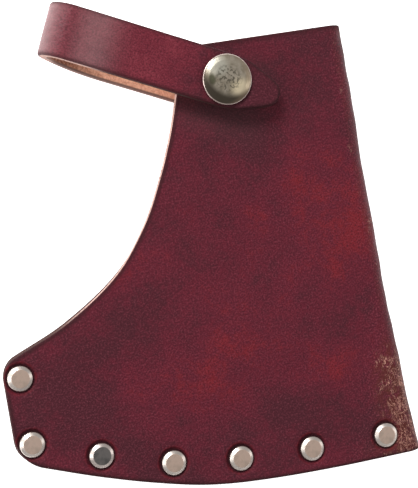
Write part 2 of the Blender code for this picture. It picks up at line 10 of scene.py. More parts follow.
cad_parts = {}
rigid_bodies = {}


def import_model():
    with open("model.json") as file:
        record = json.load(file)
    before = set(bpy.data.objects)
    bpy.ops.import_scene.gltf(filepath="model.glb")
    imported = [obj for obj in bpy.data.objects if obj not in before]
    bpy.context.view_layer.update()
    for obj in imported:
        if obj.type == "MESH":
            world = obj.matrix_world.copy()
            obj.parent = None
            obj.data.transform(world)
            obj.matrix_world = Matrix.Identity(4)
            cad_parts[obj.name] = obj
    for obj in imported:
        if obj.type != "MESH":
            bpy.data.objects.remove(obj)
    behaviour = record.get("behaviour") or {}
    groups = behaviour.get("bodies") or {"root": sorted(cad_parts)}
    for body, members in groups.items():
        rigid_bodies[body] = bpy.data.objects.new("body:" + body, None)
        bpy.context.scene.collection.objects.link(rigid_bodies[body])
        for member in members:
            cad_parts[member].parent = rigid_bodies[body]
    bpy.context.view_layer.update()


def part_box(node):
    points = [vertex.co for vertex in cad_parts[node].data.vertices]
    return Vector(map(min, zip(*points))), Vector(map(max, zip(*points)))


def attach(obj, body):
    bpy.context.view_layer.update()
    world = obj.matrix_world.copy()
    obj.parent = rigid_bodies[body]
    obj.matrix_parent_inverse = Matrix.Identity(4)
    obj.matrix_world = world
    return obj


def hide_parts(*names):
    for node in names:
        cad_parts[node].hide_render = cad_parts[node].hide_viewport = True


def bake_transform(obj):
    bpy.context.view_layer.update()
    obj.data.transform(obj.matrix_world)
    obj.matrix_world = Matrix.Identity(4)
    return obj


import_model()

MM = 0.001

# Leather
LEATHER = 2.8 * MM
GAP = 0.3 * MM
GRAIN_LIFT = 0.28 * MM  # how far the grain side stands out around the pressed-in metal
BACK_LIFT = 0.1 * MM
OUTER_ROUND = 0.75 * MM  # radius of the burnished edge on the grain side
INNER_ROUND = 0.35 * MM
WALL_STEPS = 4
WALL_BULGE = 0.12 * MM
RIM_MARKS = np.array([0.0, 0.03, 0.12, 0.28, 0.5, 0.75]) * MM  # steps in across a rounded edge

# Pouch
RIVETED_THICKNESS = 3 * LEATHER + 2 * GAP
OPENING_SPREAD = 2.2 * MM
PINCH_SLOPE = 0.35
PINCH_LINE = -41 * MM
OPENING_LENGTH = 105 * MM
TOP_Y = 67.5 * MM
BOTTOM_Y = -67.5 * MM
FOLD_X = 58.7 * MM
FOLD_FLARE = 4.0 * MM
FLARE_LENGTH = 100 * MM
HEEL_X = -63.0 * MM
HEEL_TOP_Y = -20.9 * MM
HEEL_BOTTOM_Y = -37.5 * MM
HEEL_RADIUS = 6.5 * MM
HEEL_TURN = math.radians(67)
TOE_RADIUS = 11.5 * MM
TOE_TURN = math.radians(67)
TOE_CENTRE = (HEEL_X + TOE_RADIUS, HEEL_BOTTOM_Y)
MOUTH_CORNER = (5.5, 67.5)
MOUTH_CURVE = [(-42.0, -7.8), (-25.0, 3.4), (-14.2, 16.2), (-6.9, 29.5), (-0.7, 44.0), (3.6, 58.0)]
BIT_CURVE = [(-40.0, -54.2), (-23.6, -59.6), (-6.7, -63.9), (11.1, -66.0), (36.0, -67.2)]
CORNER_STEPS = 10
CURVE_STEPS = 8
FOLD_STEPS = 20
# Length, fine step, how far the fine steps reach and coarse step, up the panel and across it
UPWARD_SPACING = (165 * MM, 0.75 * MM, 48 * MM, 1.3 * MM)
ACROSS_SPACING = (128 * MM, 0.75 * MM, 13 * MM, 0.85 * MM)
RIM_CLEARANCE = 0.004  # share of the height kept free of rows just below the top edge
BACK_SETBACK = 2.8 * MM
HEEL_SETBACK_SHARE = 0.35
HEEL_SETBACK_Y = -44 * MM
HEEL_SETBACK_RUN = 8 * MM
MOUTH_SETBACK_Y = -15 * MM
MOUTH_SETBACK_RUN = 50 * MM

# Welt
WELT_WIDTH = 12 * MM
WELT_INSET = 0.8 * MM
WELT_HEEL_X = -53 * MM
WELT_END_X = 56.0 * MM
WELT_STEPS = 160
WELT_SHARES = np.array([0, 0.01, 0.04, 0.1, 0.3, 0.6, 0.9, 0.97, 1.0])

# Shape and worn places of the grain, and the painted shade under the strap
GOLDEN_ANGLE = 2.399963
GOLDEN_SHARE = 0.618
PRESSED_TO = 3.9 * MM  # the leather is pressed flat this far from a rivet's axis
RELIEVED_AT = 5.8 * MM  # and back at its full height here
RUBBED_ROUND_RIVET = 4.9 * MM
FOLD_BURNISH = 0.6
BACK_WEAR = 0.8
LEAST_FOLD_WEAR = 0.42
# Painted shade under the strap: how much it darkens and how much grey sheen is painted into it
STRAP_SHADE_DARKEN = 0.45
STRAP_SHADE_SHEEN = 0.045
SWELL_HEIGHT = 0.22 * MM
SWELL_LENGTH = 46 * MM
RIPPLE_HEIGHT = 0.09 * MM
RIPPLE_LENGTH = 15 * MM
LIP_HEIGHT = 0.07 * MM
LIP_REACH = 6.3 * MM
LIP_WIDTH = 0.8 * MM
CREASE_HEIGHT = 0.12 * MM
CREASE_LENGTH = 9 * MM
# Painted shade under the strap: how far below its line it centres and how far it reaches
STRAP_SHADE_OFFSET = 3 * MM
STRAP_SHADE_REACH = 12 * MM

# Places and radii in millimetres over the pouch
WORN_CORNERS = [((58, -45), 10, 1.0), ((61, -61), 11, 1.2), ((46, -66), 7, 0.6)]
RED_AREAS = [((-8, -34), 17), ((45, 8), 13), ((43, 24), 13), ((36, -36), 11), ((18, 8), 9)]
DARK_AREAS = [
    ((18, 41), 16), ((22, -47), 9), ((-47, -33), 16), ((50, 58), 15), ((-20, -12), 13),
    ((5, -58), 12), ((-25, -52), 12), ((46, -56), 12), ((50, -20), 8),
]

# Hardware
RIVET_CENTRES = [
    (-58.4, -20.8), (-58.2, -40.5), (-38.5, -48.0), (-17.2, -54.7),
    (3.7, -57.8), (26.5, -59.6), (51.0, -60.5),
]
# Radius and height over the leather, in millimetres
RIVET_HEAD = [
    (0, 1.5), (1.5, 1.5), (2.6, 1.48), (2.72, 1.44), (3.62, 0.85), (3.76, 0.6), (3.7, 0.28),
    (3.4, 0.1), (0, 0.05),
]
# The rivet whose flat top has a painted dark reflection
DARK_REFLECTION_RIVET = 3
REAR_RIVET_SEAT = 0.25 * MM
SNAP_X = 16.4 * MM
SNAP_Y = 55.6 * MM
SNAP_CENTRE = (SNAP_X, SNAP_Y)
SNAP_PRESSED_TO = 5.6 * MM
CORNER_CURVE_STEPS = 5

# Strap
STRAP_ANGLE = math.radians(24.8)
STRAP_WIDTH = 16.2 * MM
STRAP_STANDOFF = 3.6 * MM
LOOP_REACH = 55.3 * MM
GENTLE_TURN = math.radians(50)
TIGHT_RADIUS = 5.1 * MM
BASE_TAIL = 10.5 * MM
PIECE_TURNS = [math.radians(angle) for angle in (30, 60, 90, 120, 150)]
HINGE_TURNS = [math.radians(angle) for angle in (15, 45, 75, 105, 135, 165)]
STRAP_BODIES = ["base", "link_1", "link_2", "link_3", "link_4", "link_5", "tongue"]
BLEND_SHARE = 0.85  # how much of a piece's own bend lies between the ends of its blend
FRONT_RUN_TURN = 3.0  # past this much turn the strap runs over the front panel
BACK_RUN_LIFT = 0.25 * MM
STRAP_PRESSED_TO = 7.3 * MM
# Painted highlight on the strap's front run near the bend: its middle along the strap and its
# reach
PAINTED_HIGHLIGHT_AT = 41.5 * MM
PAINTED_HIGHLIGHT_REACH = 6.5 * MM
TAIL_DEGREES = (9, 12, 17, 23, 30, 38, 47, 57, 68, 79, 90)
ACROSS_SHARES = np.array([0.0, 0.004, 0.015, 0.035, 0.065, 0.1, 0.15, 0.22, 0.3, 0.4, 0.5])
TONGUE_OUTLINE = [
    (-1.0, 8.1), (5.0, 7.6), (9.0, 6.3), (13.3, 4.6), (15.8, 3.3), (17.0, 1.9), (17.3, 0.8),
]
STRAP_ALONG = np.array((-math.cos(STRAP_ANGLE), math.sin(STRAP_ANGLE), 0.0))
STRAP_ACROSS = np.array((-math.sin(STRAP_ANGLE), -math.cos(STRAP_ANGLE), 0.0))
UP = np.array((0.0, 0.0, 1.0))

# Camera
CAMERA_TARGET = Vector((7.6 * MM, 7.5 * MM, 0.0))
CAMERA_DISTANCE = 500 * MM
CAMERA_LENS = 119.88
CAMERA_TILT = math.radians(16)
CAMERA_ROLL = math.radians(10)

# Table: it touches the strap's rear rivet and the rivets along the bit
TABLE_HALF = 3.0
STRAP_RIVET_DROP = 4.75 * MM
BIT_RIVET_DROP = 1.35 * MM
BIT_RIVET_Y = -59.0 * MM

# Light: name, place and size in metres, watts
SOFTBOXES = [
    ("key_softbox", (-0.35, 0.75, 0.75), (0.5, 0.4), 11.0),
    ("left_softbox", (-0.9, 0.05, 0.3), (0.3, 0.8), 4.0),
    ("right_softbox", (0.95, -0.05, 0.3), (0.35, 0.8), 1.2),
]
WORLD_STRENGTH = 0.5
TABLE_GLOW = 0.9

# Colours
BODY_DYE = ((0.055, 0.012, 0.018), (0.1, 0.012, 0.022), (0.165, 0.013, 0.018))
STRAP_DYE = ((0.058, 0.012, 0.018), (0.125, 0.016, 0.026), (0.195, 0.03, 0.042))
BODY_CRACKS = (0.66, 0.33, 0.25)
STRAP_CRACKS = (0.33, 0.16, 0.16)
# Paler grain specks: partly the grain's own speckle, partly painted glints of its waxed finish
PAINTED_GRAIN_GLINT = (0.22, 0.052, 0.072)
# Pale grey of painted sheen: the grazing sheen round the strap's bend and over its highlight, and
# a grey veil painted into the shade under the strap
PAINTED_SHEEN_GREY = (0.42, 0.34, 0.335)
RUBBED_BROWN = (0.085, 0.022, 0.016)
# Near-black of burnished grain, also used as painted shade
BURNISH_AND_SHADE_DARK = (0.022, 0.008, 0.009)
# Painted shade where each rivet's rim meets the leather
RIVET_CONTACT_SHADE = (0.015, 0.006, 0.006)
CUT_PALE = (0.55, 0.36, 0.31)
CUT_DARK = (0.16, 0.07, 0.065)
BURNISHED_CUT = (0.045, 0.02, 0.018)
FLESH_PALE = (1.0, 0.63, 0.46)
FLESH_DARK = (0.66, 0.32, 0.22)
# Colour of the painted shade on the flesh side
FLESH_PAINTED_SHADE = (0.15, 0.05, 0.028)
FLESH_RIM_DARK = (0.09, 0.045, 0.04)
FLESH_RIM_PALE = (0.5, 0.36, 0.32)
# Metals: bright, dull and, on rivets, the sloping rim
NICKEL = ((0.74, 0.55, 0.45), (0.56, 0.43, 0.35), (0.62, 0.55, 0.5))
# Nickel with a painted dark reflection on the flat top, its sloping rim near plain nickel
NICKEL_DARK_REFLECTION = ((0.22, 0.2, 0.19), (0.12, 0.115, 0.11), (0.6, 0.52, 0.48))
STEEL = ((0.5, 0.5, 0.51), (0.4, 0.4, 0.41))
CAP_METAL = ((0.51, 0.44, 0.35), (0.28, 0.235, 0.175))
CAP_RIM = (0.62, 0.5, 0.45)
CAP_PITS = (0.13, 0.115, 0.085)
# Painted reflections on the dome, light and dark patches: place (mm), stretch in x, distances from
# none to full, strength, colour
CAP_PAINTED_REFLECTIONS = [
    ((-2.6, 4.4), 1.0, (4.6, 1.5), 0.75, (0.57, 0.55, 0.46)),
    ((3.6, -3.4), 1.0, (4.4, 1.2), 0.85, (0.95, 0.8, 0.55)),
    ((-4.9, 0.6), 1.6, (2.3, 0.9), 0.88, (0.1, 0.1, 0.06)),
    ((1.7, 2.6), 1.0, (6.5, 8.7), 0.95, (0.07, 0.055, 0.04)),
    ((-2.6, 0.4), 1.0, (7.2, 9.0), 0.5, (0.3, 0.22, 0.15)),
]


# Node helpers


class Recipe:
    """Builds one material's nodes; any input may be a constant or another node's output."""

    def __init__(self, name):
        self.material = bpy.data.materials.new(name)
        self.material.use_nodes = True
        self.tree = self.material.node_tree
        self.shader = self.tree.nodes["Principled BSDF"]

    def set_input(self, node, key, value):
        socket = node.inputs[key]
        if isinstance(value, bpy.types.NodeSocket):
            self.tree.links.new(value, socket)
        elif isinstance(value, tuple) and socket.type == "RGBA":
            socket.default_value = (*value, 1.0)
        else:
            socket.default_value = value

    def add(self, kind, inputs, output=0, **settings):
        node = self.tree.nodes.new(kind)
        for key, value in settings.items():
            setattr(node, key, value)
        for key, value in inputs.items():
            self.set_input(node, key, value)
        return node.outputs[output]

    def attribute(self, name, output="Fac"):
        return self.add("ShaderNodeAttribute", {}, output, attribute_name=name)

    def noise(self, vector, scale, detail=2.0, roughness=0.5, distortion=0.0):
        inputs = {
            "Vector": vector, "Scale": scale, "Detail": detail,
            "Roughness": roughness, "Distortion": distortion,
        }
        return self.add("ShaderNodeTexNoise", inputs, "Fac")

    def cells(self, vector, scale):
        return self.add("ShaderNodeTexVoronoi", {"Vector": vector, "Scale": scale}, "Distance")

    def ramp(self, value, low, high, start=0.0, end=1.0):
        inputs = {0: value, 1: low, 2: high, 3: start, 4: end}
        return self.add("ShaderNodeMapRange", inputs, 0, interpolation_type="SMOOTHSTEP")

    def math(self, operation, a, b=0.0, c=0.0):
        return self.add("ShaderNodeMath", {0: a, 1: b, 2: c}, 0, operation=operation)

    def times(self, a, b):
        return self.math("MULTIPLY", a, b)

    def vector_math(self, operation, a, b=(0.0, 0.0, 0.0), output=0):
        return self.add("ShaderNodeVectorMath", {0: a, 1: b}, output, operation=operation)

    def mix(self, share, a, b):
        return self.add("ShaderNodeMix", {0: share, 6: a, 7: b}, 2, data_type="RGBA")

    def object_place(self):
        return self.add("ShaderNodeTexCoord", {}, "Object")

    def bump(self, height, strength, distance, normal=None):
        inputs = {"Height": height, "Strength": strength, "Distance": distance}
        if normal is not None:
            inputs["Normal"] = normal
        return self.add("ShaderNodeBump", inputs, "Normal")

    def finish(self, **inputs):
        for key, value in inputs.items():
            self.set_input(self.shader, key.replace("_", " "), value)
        return self.material


def grain_leather(name, dye, worn, roughness, rivets=()):
    """Waxed oxblood grain: cloudy dye, fine pebbling, pale cracks where it has been creased."""
    dark, middle, red = dye
    m = Recipe(name)
    hide = m.attribute("hide", "Vector")
    # Worn grain on the pouch; on the strap this attribute holds only a painted highlight. Both
    # raise the painted glints.
    wear_and_glint = m.attribute("wear_and_glint")
    clouds = m.noise(hide, 0.032, 2.0, 0.5, 0.6)
    patches = m.noise(hide, 0.1, 3.0, 0.55)
    mottle = m.noise(hide, 0.5, 4.0, 0.65)
    specks = m.noise(hide, 1.9, 3.0, 0.65)
    depth = m.math("MULTIPLY_ADD", clouds, 0.5, m.times(patches, 0.5))
    depth = m.math("MULTIPLY_ADD", m.attribute("tone"), 0.14, depth)
    depth = m.math("MULTIPLY_ADD", m.ramp(mottle, 0.35, 0.65, -0.5, 0.5), 0.1, depth)
    colour = m.mix(m.ramp(depth, 0.3, 0.55), dark, middle)
    colour = m.mix(m.ramp(depth, 0.52, 0.78), colour, red)
    # Paler specks over all the grain, partly its own speckle and partly painted glints, stronger
    # on worn grain and on the strap's painted highlight
    glint_share = m.math("MULTIPLY_ADD", wear_and_glint, 0.9, 0.46)
    glint_share = m.times(m.ramp(specks, 0.45, 0.72), glint_share)
    colour = m.mix(glint_share, colour, PAINTED_GRAIN_GLINT)
    colour = m.mix(m.ramp(specks, 0.52, 0.34, 0.0, 0.75), colour, dark)
    # Painted sheen: pale grey mixed in where the sheen attribute is set
    painted_sheen = m.times(m.attribute("painted_sheen"), m.ramp(mottle, 0.3, 0.6, 0.8, 1.0))
    colour = m.mix(painted_sheen, colour, PAINTED_SHEEN_GREY)
    brown = m.times(m.ramp(mottle, 0.3, 0.6), m.ramp(wear_and_glint, 0.2, 0.9, 0.0, 0.85))
    colour = m.mix(brown, colour, RUBBED_BROWN)
    threads = cracked(m, hide, wear_and_glint)
    colour = m.mix(m.times(threads, 0.85), colour, worn)
    # Burnished grain, and painted shade under the strap and round the snap cap
    burnish_and_shade = m.attribute("burnish_and_shade")
    colour = m.mix(m.times(burnish_and_shade, 0.75), colour, BURNISH_AND_SHADE_DARK)
    normal = m.bump(m.cells(hide, 1.3), 0.35, 0.25 * MM)
    normal = m.bump(m.noise(hide, 2.6, 4.0, 0.6), 0.3, 0.2 * MM, normal)
    normal = m.bump(threads, 0.7, 0.4 * MM, normal)
    if rivets:
        reach = nearest_rivet(m, hide, rivets)
        normal = m.bump(m.ramp(reach, 3.9, 4.9), 1.0, 0.5 * MM, normal)
        # A redder ring on each dent's lip: partly worn grain, partly a painted highlight
        lip = m.times(m.ramp(reach, 4.2, 4.6), m.ramp(reach, 5.4, 4.8))
        lip = m.times(lip, m.ramp(mottle, 0.35, 0.65, 0.1, 0.45))
        colour = m.mix(lip, colour, red)
        # Painted shade: a dark ring where each rivet's rim meets the leather
        colour = m.mix(m.ramp(reach, 4.35, 3.9, 0.0, 0.7), colour, RIVET_CONTACT_SHADE)
    shine = m.ramp(mottle, 0.3, 0.7, roughness - 0.05, roughness + 0.06)
    shine = m.math("MULTIPLY_ADD", burnish_and_shade, 0.4, shine)
    return m.finish(Base_Color=colour, Roughness=shine, Normal=normal, Specular_IOR_Level=0.08)


def cracked(m, hide, wear_and_glint):
    """Where the creased grain has split into pale threads: 1 on a thread, 0 elsewhere."""
    along_fold = {"Vector": hide, "Rotation": (0.0, 0.0, 0.25), "Scale": (1.0, 0.55, 1.0)}
    stretched = m.add("ShaderNodeMapping", along_fold)
    warped = m.noise(stretched, 0.75, 3.0, 0.6, 1.2)
    thread = m.ramp(m.math("ABSOLUTE", m.math("SUBTRACT", warped, 0.5)), 0.034, 0.008)
    crumbs = m.ramp(m.noise(hide, 1.6, 2.0, 0.6), 0.57, 0.66)
    patches = m.noise(hide, 0.22, 2.0, 0.6)
    reached = m.math("MULTIPLY_ADD", wear_and_glint, 0.5, patches)
    thread = m.times(thread, m.ramp(reached, 0.78, 0.98))
    crumbs = m.times(crumbs, m.ramp(reached, 0.92, 1.08, 0.0, 0.75))
    return m.math("MAXIMUM", thread, crumbs)


def nearest_rivet(m, hide, rivets):
    """Distance over the hide to the nearest rivet's axis, in millimetres."""
    nearest = None
    for x, y in rivets:
        reach = m.vector_math("DISTANCE", hide, (x, y, 0.0), "Value")
        nearest = reach if nearest is None else m.math("MINIMUM", nearest, reach)
    return nearest


def cut_leather(name):
    """The fibrous cut edge: pale where it is raw, dark brown where it has been burnished."""
    m = Recipe(name)
    hide = m.attribute("hide", "Vector")
    fibres = m.noise(hide, 1.6, 5.0, 0.7)
    stains = m.noise(hide, 0.13, 2.0)
    share = m.times(m.ramp(fibres, 0.4, 0.72), m.ramp(stains, 0.35, 0.6, 0.35, 0.9))
    colour = m.mix(share, CUT_PALE, CUT_DARK)
    raw = m.ramp(m.attribute("raw"), 0.1, 0.9)
    colour = m.mix(raw, BURNISHED_CUT, colour)
    normal = m.bump(fibres, 0.4, 0.3 * MM)
    return m.finish(Base_Color=colour, Roughness=0.8, Normal=normal, Specular_IOR_Level=0.1)


def flesh_leather(name):
    """The fuzzy inner side of the hide, stained, with painted shade deep in the strap's loop and
    under its front run.
    """
    m = Recipe(name)
    hide = m.attribute("hide", "Vector")
    nap = m.noise(hide, 1.1, 6.0, 0.72, 0.5)
    clouds = m.noise(hide, 0.09, 2.0)
    colour = m.mix(m.ramp(nap, 0.35, 0.7), FLESH_PALE, FLESH_DARK)
    colour = m.mix(m.ramp(clouds, 0.45, 0.75, 0.0, 0.4), colour, FLESH_DARK)
    # Painted shade, as set by the shade attribute
    painted_flesh_shade = m.times(m.attribute("shade"), m.ramp(nap, 0.4, 0.6, 0.55, 1.0))
    colour = m.mix(painted_flesh_shade, colour, FLESH_PAINTED_SHADE)
    rim = m.mix(m.ramp(m.attribute("raw"), 0.2, 1.0), FLESH_RIM_DARK, FLESH_RIM_PALE)
    colour = m.mix(m.ramp(m.attribute("burnish_and_shade"), 0.3, 0.8), colour, rim)
    normal = m.bump(nap, 0.5, 0.4 * MM)
    return m.finish(Base_Color=colour, Roughness=0.9, Normal=normal, Specular_IOR_Level=0.1)


def satin_metal(name, colours, low, high):
    """Nickel plate: cloudy tarnish over a satin finish, roughness from low to high."""
    m = Recipe(name)
    place = m.object_place()
    blotches = m.noise(place, 0.25 / MM, 4.0, 0.6, 0.6)
    grit = m.noise(place, 1.6 / MM, 3.0, 0.6)
    colour = m.mix(m.ramp(blotches, 0.4, 0.66), *colours[:2])
    for rim in colours[2:]:
        flat = m.vector_math("MULTIPLY", place, (1.0, 1.0, 0.0))
        reach = m.vector_math("LENGTH", flat, output="Value")
        colour = m.mix(m.ramp(reach, 2.6 * MM, 2.85 * MM), colour, rim)
    rough = m.ramp(blotches, 0.35, 0.65, low, high)
    normal = m.bump(grit, 0.1, 0.1 * MM)
    return m.finish(Base_Color=colour, Metallic=1.0, Roughness=rough, Normal=normal)


def worn_cap_metal(name):
    """The snap's dome: blotchy tarnish, patches of painted reflection, pits in the middle and a
    brighter rim.
    """
    m = Recipe(name)
    place = m.object_place()
    flat = m.vector_math("MULTIPLY", place, (1 / MM, 1 / MM, 0.0))

    def reach_from(x, y, stretch=1.0):
        moved = m.vector_math("SUBTRACT", flat, (x, y, 0.0))
        scaled = m.vector_math("MULTIPLY", moved, (stretch, 1.0, 1.0))
        return m.vector_math("LENGTH", scaled, output="Value")

    clouds = m.noise(place, 0.22 / MM, 3.0, 0.55, 0.6)
    pits = m.noise(place, 0.95 / MM, 2.0, 0.6)
    colour = m.mix(m.ramp(clouds, 0.36, 0.62), *CAP_METAL)
    # Painted reflections: light and dark patches fixed on the dome
    for centre, stretch, (clear, full), strength, reflection_colour in CAP_PAINTED_REFLECTIONS:
        share = m.ramp(reach_from(*centre, stretch), clear, full, 0.0, strength)
        colour = m.mix(share, colour, reflection_colour)
    middle = m.ramp(reach_from(0.0, 0.2), 5.0, 2.4)
    pitted = m.times(m.ramp(pits, 0.5, 0.57), middle)
    colour = m.mix(m.times(pitted, 0.85), colour, CAP_PITS)
    colour = m.mix(m.ramp(reach_from(0.0, 0.0), 7.25, 7.4), colour, CAP_RIM)
    rough = m.math("MULTIPLY_ADD", m.ramp(clouds, 0.35, 0.65), 0.12, 0.3)
    normal = m.bump(pits, 0.25, 0.12 * MM)
    return m.finish(Base_Color=colour, Metallic=1.0, Roughness=rough, Normal=normal)


# Plane curves


def arc(centre, radius, start, end, count):
    angles = np.linspace(start, end, count + 1)
    return np.stack([centre[0] + radius * np.cos(angles), centre[1] + radius * np.sin(angles)], 1)


def through(keys, steps):
    """A smooth curve through the keys, with this many steps between each pair."""
    keys = np.array(keys, float)
    padded = np.vstack([2 * keys[0] - keys[1], keys, 2 * keys[-1] - keys[-2]])
    points = [keys[:1]]
    t = (np.arange(1, steps + 1) / steps)[:, None]
    for a, b, c, d in zip(padded, padded[1:], padded[2:], padded[3:]):
        points.append(
            0.5 * (2 * b + (c - a) * t + (2 * a - 5 * b + 4 * c - d) * t**2
                   + (3 * b - a - 3 * c + d) * t**3)
        )
    return np.vstack(points)


def along_curve(points, fractions):
    """Points on a polyline at these fractions of its length."""
    lengths = np.linalg.norm(np.diff(points, axis=0), axis=1)
    marks = np.concatenate([[0.0], np.cumsum(lengths)])
    marks /= marks[-1]
    return np.stack([np.interp(fractions, marks, column) for column in points.T], -1)


def eased(value, start, run):
    """0 up to start, rising smoothly to 1 over run; a negative run rises the other way."""
    share = np.clip((value - start) / run, 0.0, 1.0)
    return share * share * (3 - 2 * share)


def plane(points):
    """The x and y of a grid of points."""
    return points[..., 0], points[..., 1]


def distance_to(points, line):
    """Least distance in the plane from each point to a polyline."""
    flat = points.reshape(-1, 2)
    best = np.full(len(flat), 1.0)
    for a, b in zip(line, line[1:]):
        span = b - a
        share = np.clip(((flat - a) @ span) / max(span @ span, 1e-18), 0, 1)
        best = np.minimum(best, np.linalg.norm(flat - a - share[:, None] * span, axis=1))
    return best.reshape(points.shape[:-1])


def ripples(x, y, wavelength, seed, count=7):
    """A smooth irregular height, about -1 to 1, made of a few crossing waves."""
    total = np.zeros_like(x)
    for i in range(count):
        angle = GOLDEN_ANGLE * i + seed
        reach = wavelength * (0.7 + 0.6 * ((i * GOLDEN_SHARE + seed) % 1.0))
        wave = (x * math.cos(angle) + y * math.sin(angle)) * 2 * math.pi / reach
        total += np.sin(wave + 5.1 * i + 3.7 * seed)
    return total / math.sqrt(count) / 1.4


def edge_spacing(length, fine, fine_reach, coarse):
    """Fractions that are closest together at the rounded edge, then fine, then coarse."""
    near = np.arange(1.0 * MM, fine_reach, fine)
    marks = np.concatenate([RIM_MARKS, near])
    count = max(3, int((length - marks[-1]) / coarse))
    marks = np.concatenate([marks[:-1], np.linspace(marks[-1], length, count)])
    return marks / length


# Sheets of leather


def rounding(distance, radius):
    """How far a rounded edge has dropped at this distance from it."""
    inside = np.clip(radius - distance, 0, radius)
    return radius - np.sqrt(np.maximum(radius**2 - inside**2, 0))


def perimeter(rows, columns):
    """Row and column indices round a grid's edge, anticlockwise seen from the grain side."""
    loop = [(0, j) for j in range(columns - 1)]
    loop += [(i, columns - 1) for i in range(rows - 1)]
    loop += [(rows - 1, j) for j in range(columns - 1, 0, -1)]
    loop += [(i, 0) for i in range(rows - 1, 0, -1)]
    return tuple(np.array(loop).T)


def leather_sheet(middle, normal, edge_distance, lift, sink=0.0):
    """Vertices, quads, each quad's material index and the edge loop of a sheet of leather.

    middle and normal are grids of points and directions. The materials are grain, cut edge and
    flesh. lift and sink move the grain and the flesh out from half the leather's thickness.
    """
    rows, columns = edge_distance.shape
    half = LEATHER / 2
    grain = middle + normal * (half + lift - rounding(edge_distance, OUTER_ROUND))[..., None]
    flesh = middle - normal * (half + sink - rounding(edge_distance, INNER_ROUND))[..., None]
    index = np.arange(rows * columns).reshape(rows, columns)
    loop = perimeter(rows, columns)
    top = index[loop]
    start = grain[loop]
    end = flesh[loop]
    tangent = np.roll(start, -1, 0) - np.roll(start, 1, 0)
    outward = np.cross(tangent, normal[loop])
    outward /= np.maximum(np.linalg.norm(outward, axis=1), 1e-12)[:, None]
    count = len(top)
    walls = []
    levels = [top]
    for k in range(1, WALL_STEPS):
        share = k / WALL_STEPS
        bulge = outward * WALL_BULGE * 4 * share * (1 - share)
        walls.append(start + (end - start) * share + bulge)
        levels.append(2 * rows * columns + (k - 1) * count + np.arange(count))
    levels.append(top + rows * columns)
    vertices = np.vstack([grain.reshape(-1, 3), flesh.reshape(-1, 3), *walls])
    a, b = index[:-1, :-1].ravel(), index[:-1, 1:].ravel()
    c, d = index[1:, 1:].ravel(), index[1:, :-1].ravel()
    quads = [np.stack([a, b, c, d], 1), np.stack([d, c, b, a], 1) + rows * columns]
    slots = [np.zeros(len(a), int), np.full(len(a), 2)]
    for upper, lower in zip(levels, levels[1:]):
        after_upper, after_lower = np.roll(upper, -1), np.roll(lower, -1)
        quads.append(np.stack([upper, lower, after_lower, after_upper], 1))
        slots.append(np.ones(count, int))
    return vertices, np.vstack(quads), np.concatenate(slots), loop


def sheet_values(grid, loop, inner=None):
    """One value per vertex of a leather_sheet, from a grid of values."""
    walls = [grid[loop]] * (WALL_STEPS - 1)
    parts = [grid, grid if inner is None else inner]
    flat = [part.reshape(-1, *grid.shape[2:]) for part in parts]
    return np.concatenate([*flat, *walls])


def sheet_value_set(hide, grids, loop):
    """The attributes of a sheet; the flesh side takes another part of the hide's patterns."""
    values = {"hide": sheet_values(hide, loop, hide + np.array((0, 0, 9.0)))}
    for name, grid in grids.items():
        values[name] = sheet_values(grid, loop)
    return values


def add_object(name, vertices, faces, materials):
    mesh = bpy.data.meshes.new(name)
    mesh.from_pydata(vertices, [], faces)
    for material in materials:
        mesh.materials.append(material)
    obj = bpy.data.objects.new(name, mesh)
    bpy.context.scene.collection.objects.link(obj)
    return obj


def shade_smooth(obj):
    obj.data.polygons.foreach_set("use_smooth", np.full(len(obj.data.polygons), True))
    obj.data.update()


def sheet_object(name, vertices, faces, materials, slots, values):
    obj = add_object(name, vertices.tolist(), faces, materials)
    obj.data.polygons.foreach_set("material_index", slots.astype(np.int32))
    for key, data in values.items():
        kind, field = ("FLOAT_VECTOR", "vector") if data.ndim == 2 else ("FLOAT", "value")
        attribute = obj.data.attributes.new(key, kind, "POINT")
        attribute.data.foreach_set(field, data.astype(np.float32).ravel())
    shade_smooth(obj)
    return obj


# Pouch


def pouch_thickness(x, y):
    """Full thickness: riveted flat along heel and bit, spreading towards the open end."""
    opened = (y + PINCH_SLOPE * x - PINCH_LINE) / OPENING_LENGTH
    return RIVETED_THICKNESS + OPENING_SPREAD * np.clip(opened, 0.0, 1.0)


def fold_outer_x(y):
    """Outside of the fold, which flares towards the toe."""
    return FOLD_X + FOLD_FLARE * np.maximum(0.0, (TOP_Y / 2 - y) / FLARE_LENGTH) ** 2


def fold_start_x(y):
    """Where the flat panels end and the leather starts to turn."""
    outer = fold_outer_x(y)
    return outer - pouch_thickness(outer, y) / 2


def heel_side():
    """From the middle of the toe-side corner up the heel and the mouth to the open end."""
    upper_centre = (HEEL_X + HEEL_RADIUS, HEEL_TOP_Y)
    lower = arc(TOE_CENTRE, TOE_RADIUS, math.pi + TOE_TURN / 2, math.pi, CORNER_STEPS)
    upper = arc(upper_centre, HEEL_RADIUS, math.pi, math.pi - HEEL_TURN, CORNER_STEPS)
    mouth = through([upper[-1] / MM, *MOUTH_CURVE, MOUTH_CORNER], CURVE_STEPS) * MM
    return np.vstack([lower, upper, mouth[1:]])


def bit_side():
    """From the same corner along the cutting edge's side to the fold."""
    corner = arc(TOE_CENTRE, TOE_RADIUS, math.pi + TOE_TURN / 2, math.pi + TOE_TURN, CURVE_STEPS)
    end = (fold_start_x(BOTTOM_Y) / MM, BOTTOM_Y / MM)
    bit = through([corner[-1] / MM, *BIT_CURVE, end], CURVE_STEPS)
    return np.vstack([corner, bit[1:] * MM])


